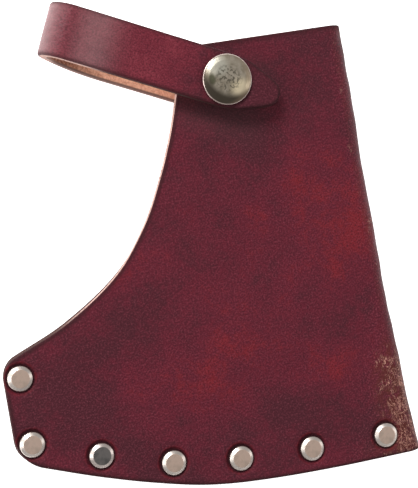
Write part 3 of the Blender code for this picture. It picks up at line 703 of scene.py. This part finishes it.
def panel_plan(setback, across, upward):
    """Grid of plane points that fill one panel, and their distance to its cut edge."""
    left = heel_side()
    low = eased(left[:, 1], HEEL_SETBACK_Y, HEEL_SETBACK_RUN)
    high = eased(left[:, 1], MOUTH_SETBACK_Y, MOUTH_SETBACK_RUN)
    left[:, 0] += setback * (HEEL_SETBACK_SHARE * low + (1 - HEEL_SETBACK_SHARE) * high)
    bottom = bit_side()
    lefts = along_curve(left, upward)
    bottoms = along_curve(bottom, across)
    fold_y = BOTTOM_Y + upward * (TOP_Y - BOTTOM_Y)
    rights = np.stack([fold_start_x(fold_y), fold_y], 1)
    tops = along_curve(np.array([lefts[-1], rights[-1]]), across)
    s, t = across[None, :, None], upward[:, None, None]
    corners = (
        (1 - s) * (1 - t) * bottoms[0] + s * (1 - t) * bottoms[-1]
        + (1 - s) * t * tops[0] + s * t * tops[-1]
    )
    plan = (
        (1 - s) * lefts[:, None] + s * rights[:, None]
        + (1 - t) * bottoms[None] + t * tops[None] - corners
    )
    outline = np.vstack([rights[-1:], left[::-1], bottom, rights[:1]])
    return plan, distance_to(plan, outline)


def rivet_reach(x, y):
    """Distance in the plane to the nearest rivet's axis."""
    nearest = np.full_like(x, 1.0)
    for cx, cy in RIVET_CENTRES:
        nearest = np.minimum(nearest, np.hypot(x - cx * MM, y - cy * MM))
    return nearest


def rivet_pull(x, y, outer=RELIEVED_AT):
    """1 under each rivet's rim, 0 from this distance outwards."""
    return 1 - eased(rivet_reach(x, y), PRESSED_TO, outer - PRESSED_TO)


def front_relief(x, y):
    """Shallow hollows and swells of the front panel, and a low lip round each rivet's dent."""
    calm = 1 - rivet_pull(x, y, 9 * MM)
    relief = SWELL_HEIGHT * ripples(x, y, SWELL_LENGTH, 0.3)
    relief += RIPPLE_HEIGHT * ripples(x, y, RIPPLE_LENGTH, 1.7)
    lip = np.exp(-(((rivet_reach(x, y) - LIP_REACH) / LIP_WIDTH) ** 2))
    return relief * calm + LIP_HEIGHT * lip


def spot(x, y, place, radius):
    return np.exp(-(((x / MM - place[0]) ** 2 + (y / MM - place[1]) ** 2) / radius**2))


def fold_wear(x, y):
    """Rubbed and cracked grain along the fold, most of it near the toe."""
    inward = (fold_start_x(y) - x) / MM
    low = eased(y, 12 * MM, -70 * MM)
    band = 1 - eased(inward, -2, 5 + 9 * low)
    patchy = 0.6 + 0.4 * ripples(x, y, 15 * MM, 2.6)
    corner = sum(strength * spot(x, y, place, radius) for place, radius, strength in WORN_CORNERS)
    along_fold = band * (0.3 + 0.45 * low) * patchy
    return np.clip(along_fold + 0.75 * corner * (0.6 + 0.4 * patchy), 0, 1)


def painted_strap_shade(x, y):
    """Painted shade on the front panel, under and just below the strap's front run."""
    along = (x - SNAP_X) * STRAP_ALONG[0] + (y - SNAP_Y) * STRAP_ALONG[1]
    across = (x - SNAP_X) * STRAP_ACROSS[0] + (y - SNAP_Y) * STRAP_ACROSS[1]
    beside = np.exp(-(((across - STRAP_SHADE_OFFSET) / STRAP_SHADE_REACH) ** 4))
    return beside * eased(along, -20 * MM, 14 * MM)


def dye_tone(x, y):
    """Where the dye reads redder (1) or darker (-1) over the pouch."""
    tone = np.zeros_like(x)
    for place, radius in RED_AREAS:
        tone += spot(x, y, place, radius)
    for place, radius in DARK_AREAS:
        tone -= spot(x, y, place, radius)
    return np.clip(tone, -1, 0.8)


def fold_surface(y, turns):
    """Middle surface and outward directions of the leather round the fold, one row per y."""
    outer_x = fold_outer_x(y)[:, None]
    height = pouch_thickness(outer_x, y[:, None])
    spoke = np.stack([np.sin(turns), 0 * turns, np.cos(turns)], 1)
    axis = np.stack([outer_x - height / 2, y[:, None] + 0 * height, height / 2], -1)
    middle = axis + spoke[None] * (height / 2 - LEATHER / 2)[..., None]
    return middle, spoke, height


def pouch_lift(front, back, y, turns):
    """How far the grain stands out over the front panel, round the fold and over the back."""
    pull = rivet_pull(*plane(front))
    snap_reach = np.hypot(front[..., 0] - SNAP_X, front[..., 1] - SNAP_Y)
    snap_pull = 1 - eased(snap_reach, SNAP_PRESSED_TO, 2 * MM)
    relieved = GRAIN_LIFT + front_relief(*plane(front))
    front_lift = relieved * (1 - np.maximum(pull, snap_pull)) - 0.03 * MM * pull
    fade = np.cos(turns)[None] / 2 + 0.5
    fold_lift = front_lift[:, -1:] * fade + BACK_LIFT * (1 - fade)
    round_fold = turns[None] * 6 * MM + 0 * fold_lift
    creases = CREASE_HEIGHT * ripples(round_fold, y[:, None] + 0 * fold_lift, CREASE_LENGTH, 0.9)
    fold_lift = fold_lift + creases * np.sin(turns)[None]
    back_lift = BACK_LIFT * (1 - rivet_pull(*plane(back)))
    return np.concatenate([front_lift, fold_lift, back_lift], axis=1)


def make_pouch(materials):
    """One hide: the front panel, the fold and the back panel as a single sheet of columns."""
    upward = edge_spacing(*UPWARD_SPACING)
    top_rim = 1 - RIM_MARKS[::-1] / (TOP_Y - BOTTOM_Y)
    upward = np.concatenate([upward[upward < top_rim[0] - RIM_CLEARANCE], top_rim])
    across = edge_spacing(*ACROSS_SPACING)
    front, front_edge = panel_plan(0.0, across, upward)
    back, back_edge = panel_plan(BACK_SETBACK, across, upward)
    y = front[:, -1, 1]
    turns = np.linspace(0, math.pi, FOLD_STEPS)[1:-1]
    fold, spoke, height = fold_surface(y, turns)
    fold_edge = np.minimum(y - BOTTOM_Y, TOP_Y - y)[:, None] + 0 * turns[None]
    front_z = pouch_thickness(*plane(front)) - LEATHER / 2
    back = back[:, ::-1]
    back_z = np.full(back.shape[:2], LEATHER / 2)
    middle = np.concatenate([np.dstack([front, front_z]), fold, np.dstack([back, back_z])], axis=1)
    normal = np.vstack([np.tile(UP, (len(across), 1)), spoke, np.tile(-UP, (len(across), 1))])
    normal = np.broadcast_to(normal, middle.shape)
    edge = np.concatenate([front_edge, fold_edge, back_edge[:, ::-1]], axis=1)
    lift = pouch_lift(front, back, y, turns)
    vertices, quads, slots, loop = leather_sheet(middle, normal, edge, lift)
    hide, wear_and_glint, burnish_and_shade, raw = pouch_values(front, back, y, turns, height, edge)
    # Painted shade with a little painted grey sheen, under and just below the strap's front run
    strap_shade = painted_strap_shade(*plane(middle)) * (normal[..., 2] > 0.5)
    grids = {
        "wear_and_glint": wear_and_glint,
        "burnish_and_shade": np.maximum(burnish_and_shade, STRAP_SHADE_DARKEN * strap_shade),
        "tone": dye_tone(*plane(middle)),
        "raw": raw,
        "painted_sheen": STRAP_SHADE_SHEEN * strap_shade,
    }
    values = sheet_value_set(hide, grids, loop)
    return sheet_object("pouch", vertices, quads.tolist(), materials, slots, values)


def pouch_values(front, back, y, turns, height, edge):
    """Unrolled place on the hide in millimetres, worn grain, burnishing and rawness of the cut
    edge.
    """
    start = fold_start_x(y)[:, None]
    fold_u = start + height / 2 * turns[None]
    back_u = start + height / 2 * math.pi + (start - back[..., 0])
    u = np.concatenate([front[..., 0], fold_u, back_u], axis=1)
    v = np.concatenate([front[..., 1], y[:, None] + 0 * fold_u, back[..., 1]], axis=1)
    hide = np.dstack([u, v, 0 * u]) / MM
    on_fold = fold_wear(start + 0 * fold_u, y[:, None] + 0 * fold_u)
    on_back = BACK_WEAR * fold_wear(*plane(back))
    on_front = fold_wear(*plane(front))
    wear_and_glint = np.concatenate([on_front, np.maximum(on_fold, LEAST_FOLD_WEAR), on_back], axis=1)
    round_fold = eased(turns, 0.7, 0.5) * eased(turns, 2.7, -0.5)
    handled = np.concatenate([
        rivet_pull(*plane(front), RUBBED_ROUND_RIVET),
        FOLD_BURNISH * round_fold[None] + 0 * fold_u,
        rivet_pull(*plane(back), RUBBED_ROUND_RIVET),
    ], axis=1)
    rim = 1 - eased(edge, 0.3 * MM, 1.3 * MM)
    raw = 0.15 + 0.85 * eased(v, -12 * MM, 12 * MM) * eased(u, 50 * MM, -10 * MM)
    return hide, wear_and_glint, np.maximum(rim, 0.6 * handled), raw


def inset(line, distance):
    """The same polyline moved to its left-hand side."""
    tangent = np.gradient(line, axis=0)
    tangent /= np.linalg.norm(tangent, axis=1)[:, None]
    return line + distance * np.stack([-tangent[:, 1], tangent[:, 0]], 1)


def make_welt(materials):
    """The strip between the panels along heel and bit, seen as the middle layer of the edge."""
    heel = heel_side()
    heel = heel[heel[:, 0] < WELT_HEEL_X]
    bit = bit_side()
    bit = bit[bit[:, 0] < WELT_END_X]
    bit = np.vstack([bit, [WELT_END_X, BOTTOM_Y + WELT_INSET / 2]])
    line = np.vstack([heel[::-1], bit[1:]])
    steps = np.linspace(0, 1, WELT_STEPS)
    outer = along_curve(inset(line, WELT_INSET), steps)
    inner_bit = inset(bit, WELT_WIDTH)
    corner = np.array((HEEL_X + WELT_WIDTH, HEEL_BOTTOM_Y - 1 * MM))
    keep = inner_bit[inner_bit[:, 0] > corner[0] + 2 * MM]
    inner = along_curve(np.vstack([[corner[0], heel[-1, 1]], corner, keep]), steps)
    shares = WELT_SHARES[:, None, None]
    plan = inner[None] * shares + outer[None] * (1 - shares)
    z = np.full(plan.shape[:2], LEATHER + GAP + LEATHER / 2)
    middle = np.dstack([plan, z])
    normal = np.broadcast_to(UP, middle.shape)
    edge = distance_to(plan, np.vstack([outer, inner[::-1], outer[:1]]))
    vertices, quads, slots, loop = leather_sheet(middle, normal, edge, 0.1 * MM, 0.1 * MM)
    hide = sheet_values(np.dstack([plan / MM, z * 0 + 30.0]), loop)
    values = {"hide": hide, "raw": np.full(len(hide), 0.3)}
    return sheet_object("welt", vertices, quads.tolist(), materials, slots, values)


# Strap


def strap_levels():
    """Heights of the strap's middle surface behind the pouch and in front of it."""
    back = -GAP - LEATHER / 2
    front = pouch_thickness(SNAP_X, SNAP_Y) + STRAP_STANDOFF + LEATHER / 2
    return back, float(front)


def bend_arcs():
    """(turn at the end, radius) of the two arcs that the strap's middle surface follows."""
    back, front = strap_levels()
    rise = front - back - TIGHT_RADIUS * (1 + math.cos(GENTLE_TURN))
    return [(GENTLE_TURN, rise / (1 - math.cos(GENTLE_TURN))), (math.pi, TIGHT_RADIUS)]


def bend_start():
    """Distance along the strap's line at which its back run starts to bend."""
    (turn, gentle), (_, tight) = bend_arcs()
    return LOOP_REACH - LEATHER / 2 - tight * (1 - math.sin(turn)) - gentle * math.sin(turn)


def bend_point(turn):
    """(distance along the strap's line, height) of its middle surface after this much turn."""
    along, height = bend_start(), strap_levels()[0]
    reached = 0.0
    for end, radius in bend_arcs():
        here = min(turn, end)
        along += radius * (math.sin(here) - math.sin(reached))
        height += radius * (math.cos(reached) - math.cos(here))
        reached = here
    return along, height


def strap_path():
    """Rows of (distance along the leather, along the line, height, turn, half width)."""
    back, front = strap_levels()
    half = STRAP_WIDTH / 2
    rows = []
    for degrees in TAIL_DEGREES:
        angle = math.radians(degrees)
        along = half - BASE_TAIL - half * math.cos(angle)
        rows.append((along, along, back, 0.0, half * math.sin(angle)))
    length = bend_start()
    for along in np.linspace(half - BASE_TAIL, length, 40)[1:]:
        rows.append((along, along, back, 0.0, half))
    last = bend_point(0.0)
    # Closer together where the arc is wide, and a row on every cut and hinge
    turns = np.radians(np.concatenate([np.arange(2, 50, 1.5), np.arange(50, 180, 5)]))
    for turn in sorted({*turns.tolist(), *PIECE_TURNS, *HINGE_TURNS, math.pi}):
        point = bend_point(turn)
        length += math.dist(point, last)
        last = point
        rows.append((length, *point, turn, half))
    end = last[0]
    for along in np.linspace(end, 1.0 * MM, 60)[1:]:
        rows.append((length + end - along, along, front, math.pi, half))
    for past, half_width in through(TONGUE_OUTLINE, 5)[1:] * MM:
        if past > 0:
            rows.append((length + end + past, -past, front, math.pi, half_width))
    return np.array(rows)


def strap_lift(u, v, turn, pressed):
    """How far the strap's grain stands out: crowned and uneven, pressed flat under the snap."""
    crown = 0.12 * MM * (1 - (v / (STRAP_WIDTH / 2)) ** 2)
    relief = 0.1 * MM * ripples(u, v, 30 * MM, 4.2) + 0.04 * MM * ripples(u, v, 9 * MM, 6.1)
    lift = 0.2 * MM + crown + relief
    # The back run is kept flatter, and the two heights fade into each other round the bend
    front_share = eased(turn, math.radians(70), math.radians(105))[:, None]
    flatter = np.minimum(lift, BACK_RUN_LIFT)
    return lift * (1 - pressed) * front_share + flatter * (1 - front_share)


def strap_grids(along, turn, edge, pressed):
    """Painted highlight and glints, burnishing and painted shade, tone with painted light along
    the front run and darker at the tip, rawness of the cut edge, painted sheen, and painted shade
    on the flesh side, over the strap.
    """
    front_run = turn > FRONT_RUN_TURN
    on_front = eased(turn, math.radians(100), math.radians(40))
    # Painted highlight on the front run near the bend, shown as painted glints and painted sheen
    painted_highlight = np.exp(-(((along - PAINTED_HIGHLIGHT_AT) / PAINTED_HIGHLIGHT_REACH) ** 2)) * on_front
    # Painted shade on the flesh side: deep in the loop towards the bend, and under the front run
    painted_flesh_shade = 0.9 * eased(along, 27 * MM, 22 * MM)
    rim = 1 - eased(edge, 0.3 * MM, 1.1 * MM)
    # Painted light: the front run is made redder towards the bend, where the left light falls, and
    # darker towards the snap
    painted_light_ramp = np.where(front_run, eased(along, -4 * MM, 50 * MM), 1.0)
    darker = np.where(front_run, eased(along, 4 * MM, -14 * MM), 0.0)
    raw_front = eased(along, 30 * MM, 16 * MM)
    raw_back = 0.5 + 0.5 * eased(along, 49 * MM, 4 * MM)
    by_row = {
        # On the strap this attribute holds only the painted highlight
        "wear_and_glint": 0.3 * painted_highlight,
        "tone": painted_light_ramp * 2 - 1 - darker,
        "raw": np.where(turn > math.pi / 2, raw_front, raw_back),
        # Painted sheen: a pale band round the outside of the bend, and some over the painted
        # highlight
        "painted_sheen": 0.46 * eased(along, 48 * MM, 7 * MM) ** 2 + 0.19 * painted_highlight,
        "shade": np.maximum(painted_flesh_shade, np.where(front_run, 0.4, 0.0)),
    }
    grids = {name: row[:, None] + 0 * edge for name, row in by_row.items()}
    # Burnished cut edges, and painted shade in a ring round the snap cap on the front run
    grids["burnish_and_shade"] = np.maximum(rim * 0.8, np.where(front_run[:, None], 0.25 * pressed, 0))
    return grids


def make_strap(materials):
    """The whole strap as one sheet, then cut at the middle of each link into closed pieces."""
    path = strap_path()
    shares = np.concatenate([ACROSS_SHARES, 1 - ACROSS_SHARES[-2::-1]]) * 2 - 1
    length, along, height, turn, half = path.T
    v = shares[None, :] * half[:, None]
    u = length[:, None] + 0 * v
    middle = (
        np.array((SNAP_X, SNAP_Y, 0.0)) + STRAP_ALONG * along[:, None, None]
        + UP * height[:, None, None] + STRAP_ACROSS * v[..., None]
    )
    outward = STRAP_ALONG * np.sin(turn)[:, None] - UP * np.cos(turn)[:, None]
    normal = np.broadcast_to(outward[:, None], middle.shape)
    sides = [np.stack([length, -half], 1), np.stack([length, half], 1)[::-1]]
    edge = distance_to(np.dstack([u, v]), np.vstack([*sides, sides[0][:1]]))
    from_snap = np.hypot(u - (length[-1] + along[-1]), v)
    pressed = 1 - eased(from_snap, STRAP_PRESSED_TO, 2.6 * MM)
    lift = strap_lift(u, v, turn, pressed)
    vertices, quads, slots, loop = leather_sheet(middle, normal, edge, lift)
    hide = np.dstack([u / MM, v / MM, 0 * u + 60.0])
    values = sheet_value_set(hide, strap_grids(along, turn, edge, pressed), loop)
    whole = sheet_object("strap", vertices, quads.tolist(), materials, slots, values)
    grid_rows = np.repeat(np.arange(len(path)), len(shares))
    rows = np.concatenate([grid_rows, grid_rows, np.tile(loop[0], WALL_STEPS - 1)])
    pieces = split_strap(whole, vertices, quads, slots, values, rows, turn, materials)
    bpy.data.objects.remove(whole)
    return pieces


def open_loops(faces):
    """One face for each hole in the mesh, wound to close it."""
    edges = {edge for face in faces for edge in zip(face, face[1:] + face[:1])}
    following = {a: b for a, b in sorted(edges) if (b, a) not in edges}
    loops = []
    while following:
        start, current = following.popitem()
        loop = [start]
        while current != start:
            loop.append(current)
            current = following.pop(current)
        loops.append(loop[::-1])
    return loops


def split_strap(whole, vertices, quads, slots, values, rows, turn, materials):
    """One closed piece per joint, keeping the whole strap's shading across the cuts."""
    normals = np.zeros(len(vertices) * 3, np.float32)
    whole.data.vertex_normals.foreach_get("vector", normals)
    normals = normals.reshape(-1, 3)
    row_of_quad = rows[quads].min(axis=1)
    cuts = [int(np.argmin(np.abs(turn - mark))) for mark in PIECE_TURNS]
    limits = [0, *cuts, len(turn)]
    cut_slot = 1
    pieces = []
    for number, (first, last) in enumerate(zip(limits, limits[1:]), 1):
        keep = (row_of_quad >= first) & (row_of_quad < last)
        used, index = np.unique(quads[keep], return_inverse=True)
        faces = index.reshape(-1, 4).tolist()
        caps = open_loops(faces)
        part_slots = np.concatenate([slots[keep], np.full(len(caps), cut_slot)])
        part_values = {key: data[used] for key, data in values.items()}
        part = (vertices[used], faces + caps, materials, part_slots, part_values)
        obj = sheet_object(f"strap_{number}", *part)
        obj.data.normals_split_custom_set_from_vertices(normals[used].tolist())
        pieces.append(obj)
    return pieces


# Turned pieces


def softened(profile, radius):
    """The profile with each corner replaced by a small curve."""
    points = [np.array(point, float) for point in profile]
    soft = [points[0]]
    for before, corner, after in zip(points, points[1:], points[2:]):
        arms = [before - corner, after - corner]
        sizes = [max(np.linalg.norm(arm), 1e-9) for arm in arms]
        reach = min(radius, 0.45 * min(sizes))
        start, end = (corner + arm / size * reach for arm, size in zip(arms, sizes))
        for i in range(CORNER_CURVE_STEPS + 1):
            t = i / CORNER_CURVE_STEPS
            soft.append((1 - t) ** 2 * start + 2 * t * (1 - t) * corner + t * t * end)
    return [*soft, points[-1]]


def turned(name, profile, centre, material, radius=0.12 * MM, sides=72):
    """A solid of revolution from (radius, z) points.

    The profile runs from the top of the axis to its bottom, or round a ring back to its start.
    """
    vertices = []
    rings = []
    for r, z in softened(profile, radius):
        count = 1 if r < 1e-7 else sides
        angles = 2 * np.pi * np.arange(count) / count
        rings.append(len(vertices) + np.arange(count))
        x = centre[0] + r * np.cos(angles)
        y = centre[1] + r * np.sin(angles)
        vertices += np.stack([x, y, np.full(count, z)], 1).tolist()
    faces = []
    for upper, lower in zip(rings, rings[1:]):
        upper, lower = np.resize(upper, sides), np.resize(lower, sides)
        corners = np.stack([upper, lower, np.roll(lower, -1), np.roll(upper, -1)], 1)
        faces += [list(dict.fromkeys(face)) for face in corners.tolist()]
    obj = add_object(name, vertices, [face for face in faces if len(face) > 2], [material])
    shade_smooth(obj)
    obj.data.transform(Matrix.Translation((-centre[0], -centre[1], -profile[0][1])))
    obj.location = (centre[0], centre[1], profile[0][1])
    return obj


def rivet_head(name, x, y, surface, material, facing=1):
    """A flat disc with a broad sloping rim, sitting on the leather at height surface."""
    profile = [(radius * MM, surface + facing * height * MM) for radius, height in RIVET_HEAD]
    return turned(name, profile[::facing], (x, y), material, 0.1 * MM)


def make_rivets(clean, dark_reflection):
    pieces = []
    for number, (x, y) in enumerate(RIVET_CENTRES, 1):
        top = float(pouch_thickness(x * MM, y * MM))
        # One rivet's flat top has a painted dark reflection
        material = dark_reflection if number == DARK_REFLECTION_RIVET else clean
        cap = rivet_head(f"rivet_front_{number}", x * MM, y * MM, top, material)
        post = rivet_head(f"rivet_rear_{number}", x * MM, y * MM, REAR_RIVET_SEAT, material, -1)
        pieces += [(cap, f"rivet_cap_{number}"), (post, f"rivet_post_{number}")]
    return pieces


def below(height, points):
    """Profile points from (radius, drop below this height) pairs in millimetres."""
    return [(radius * MM, height - drop * MM) for radius, drop in points]


def make_strap_rivet(material):
    low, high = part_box("strap_rivet_cap")
    seat = low.z + 1.5 * MM
    cap = rivet_head("strap_rivet_front", SNAP_X, SNAP_Y, seat, material, -1)
    low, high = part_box("strap_rivet_post")
    profile = below(high.z, [(0, 0), (3.35, 0), (3.75, 0.35), (3.65, 0.75), (1.6, 0.8)])
    profile += below(low.z, [(1.6, 0), (0, 0)])
    post = turned("strap_rivet_rear", profile, SNAP_CENTRE, material)
    return [(cap, "strap_rivet_cap"), (post, "strap_rivet_post")]


def make_snap_cap(material):
    low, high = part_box("snap_cap")
    profile = below(high.z, [
        (0, 0), (2.0, 0.04), (4.2, 0.2), (5.8, 0.46), (6.7, 0.76), (7.12, 0.96), (7.35, 0.98),
        (7.54, 1.12), (7.62, 1.4), (7.4, 1.85), (1.9, 1.95),
    ])
    profile += below(low.z, [(1.9, 0), (0, 0)])
    return turned("snap_button", profile, SNAP_CENTRE, material, 0.2 * MM, 96)


def make_snap_socket(material):
    low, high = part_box("snap_socket")
    profile = below(high.z, [(2.2, 0), (5.7, 0), (6.2, 0.5), (6.2, 1.7)])
    profile += below(low.z, [(5.7, 0), (3.7, 0)])
    profile += below(high.z, [(3.7, 1.75), (4.6, 1.75), (4.6, 0.5), (2.2, 0.5), (2.2, 0)])
    return turned("snap_ring", profile, SNAP_CENTRE, material)


def make_snap_stud(material):
    low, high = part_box("snap_stud")
    profile = below(high.z, [(0, 0), (2.45, 0.05), (3.15, 0.5), (3.15, 0.8), (2.8, 1.1)])
    profile += below(low.z, [(2.8, -0.7), (5.0, -0.7), (5.4, -0.35), (5.2, 0), (0, 0)])
    return turned("snap_post", profile, SNAP_CENTRE, material)


def make_snap_eyelet(material):
    low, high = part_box("snap_eyelet")
    profile = below(high.z, [(0, 0), (1.9, 0)])
    profile += below(low.z, [(1.9, -0.6), (4.9, -0.6), (5.0, -0.4), (4.5, 0), (0, 0)])
    return turned("snap_inner_flange", profile, SNAP_CENTRE, material)


def make_snap(aged, plain):
    return [
        (make_snap_cap(aged), "snap_cap", "tongue"),
        (make_snap_socket(plain), "snap_socket", "tongue"),
        (make_snap_stud(plain), "snap_stud", "sheath"),
        (make_snap_eyelet(plain), "snap_eyelet", "sheath"),
    ]


def colour_spring(material):
    """The spring stays as the CAD made it; only its material changes."""
    for obj in bpy.data.objects:
        if obj.type == "MESH" and obj.name.startswith("snap_spring"):
            obj.data.materials.clear()
            obj.data.materials.append(material)


# Studio


def add_floor():
    """A pale table, tilted so that the sheath rests on its rear rivets."""
    m = Recipe("table_top")
    place = m.object_place()
    faint = m.noise(place, 4.0, 2.0)
    colour = m.mix(faint, (0.93, 0.93, 0.93), (0.96, 0.96, 0.96))
    material = m.finish(
        Base_Color=colour, Roughness=0.9, Specular_IOR_Level=0.1,
        Emission_Color=(1.0, 1.0, 1.0), Emission_Strength=TABLE_GLOW,
    )
    slope = (STRAP_RIVET_DROP - BIT_RIVET_DROP) / (SNAP_Y - BIT_RIVET_Y)
    level = SNAP_Y * slope - STRAP_RIVET_DROP
    edges = [(TABLE_HALF * x, TABLE_HALF * y) for x, y in ((-1, -1), (1, -1), (1, 1), (-1, 1))]
    corners = [(x, y, level - y * slope) for x, y in edges]
    floor = add_object("table_top", corners, [(0, 1, 2, 3)], [material])


def add_area(name, place, size, power):
    data = bpy.data.lights.new(name, "AREA")
    data.shape = "RECTANGLE"
    data.size, data.size_y = size
    data.energy = power
    light = bpy.data.objects.new(name, data)
    light.location = place
    direction = CAMERA_TARGET - Vector(place)
    light.rotation_euler = direction.to_track_quat("-Z", "Y").to_euler()
    bpy.context.scene.collection.objects.link(light)


def add_lights():
    world = bpy.data.worlds.new("studio")
    world.use_nodes = True
    background = world.node_tree.nodes["Background"]
    background.inputs["Color"].default_value = (1.0, 1.0, 1.0, 1.0)
    background.inputs["Strength"].default_value = WORLD_STRENGTH
    bpy.context.scene.world = world
    for softbox in SOFTBOXES:
        add_area(*softbox)


def add_camera():
    roll, tilt = CAMERA_ROLL, CAMERA_TILT
    sideways = Vector((math.cos(roll), -math.sin(roll), 0))
    upright = Vector((math.sin(roll), math.cos(roll), 0))
    back = -math.sin(tilt) * sideways + math.cos(tilt) * Vector((0, 0, 1))
    right = math.cos(tilt) * sideways + math.sin(tilt) * Vector((0, 0, 1))
    data = bpy.data.cameras.new("camera")
    data.lens = CAMERA_LENS
    data.sensor_width = 36.0
    data.clip_start = 0.05
    data.clip_end = 10.0
    camera = bpy.data.objects.new("camera", data)
    rotation = Matrix((right, upright, back)).transposed().to_4x4()
    camera.matrix_world = Matrix.Translation(CAMERA_TARGET + CAMERA_DISTANCE * back) @ rotation
    bpy.context.scene.collection.objects.link(camera)
    bpy.context.scene.camera = camera


def place(obj, body, slot, *nodes):
    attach(obj, body)
    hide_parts(*nodes)


def place_strap(pieces):
    """Bakes each piece in place and hides the CAD links it stands for; the last one stands for
    link 5 and the tongue.
    """
    nodes = [[f"strap_{body}"] for body in STRAP_BODIES]
    nodes[-2:] = [nodes[-2] + nodes[-1]]
    marks = [0.0, *PIECE_TURNS, math.pi]
    for number, (piece, names) in enumerate(zip(pieces, nodes)):
        hinge = HINGE_TURNS[number]
        for turn in (marks[number], marks[number + 1]):
            turn = hinge + BLEND_SHARE * (turn - hinge)
            along, height = bend_point(turn)
        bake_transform(piece)
        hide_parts(*names)


def make_object():
    body_grain = grain_leather("oxblood_grain", BODY_DYE, BODY_CRACKS, 0.44, RIVET_CENTRES)
    strap_grain = grain_leather("oxblood_strap_grain", STRAP_DYE, STRAP_CRACKS, 0.36)
    edge = cut_leather("cut_edge")
    flesh = flesh_leather("flesh_side")
    nickel = satin_metal("satin_nickel", NICKEL, 0.32, 0.42)
    # Nickel with a painted dark reflection, for one rivet's flat top
    dark_reflection_nickel = satin_metal("dark_reflection_nickel", NICKEL_DARK_REFLECTION, 0.3, 0.4)
    aged = worn_cap_metal("aged_nickel")
    steel = satin_metal("spring_wire", STEEL, 0.3, 0.4)
    place(make_pouch([body_grain, edge, flesh]), "sheath", "body_leather", "sheath_body")
    place(make_welt([edge, edge, edge]), "sheath", "welt_leather", "edge_welt")
    place_strap(make_strap([strap_grain, edge, flesh]))
    for piece, node in make_rivets(nickel, dark_reflection_nickel) + make_strap_rivet(nickel):
        place(piece, "sheath", "rivet_nickel", node)
    for piece, node, body in make_snap(aged, nickel):
        place(piece, body, "snap_nickel", node)
    colour_spring(steel)


def write_sizes():
    bpy.context.view_layer.update()


make_object()
add_floor()
add_lights()
add_camera()
bpy.context.scene.view_settings.view_transform = "Standard"
write_sizes()
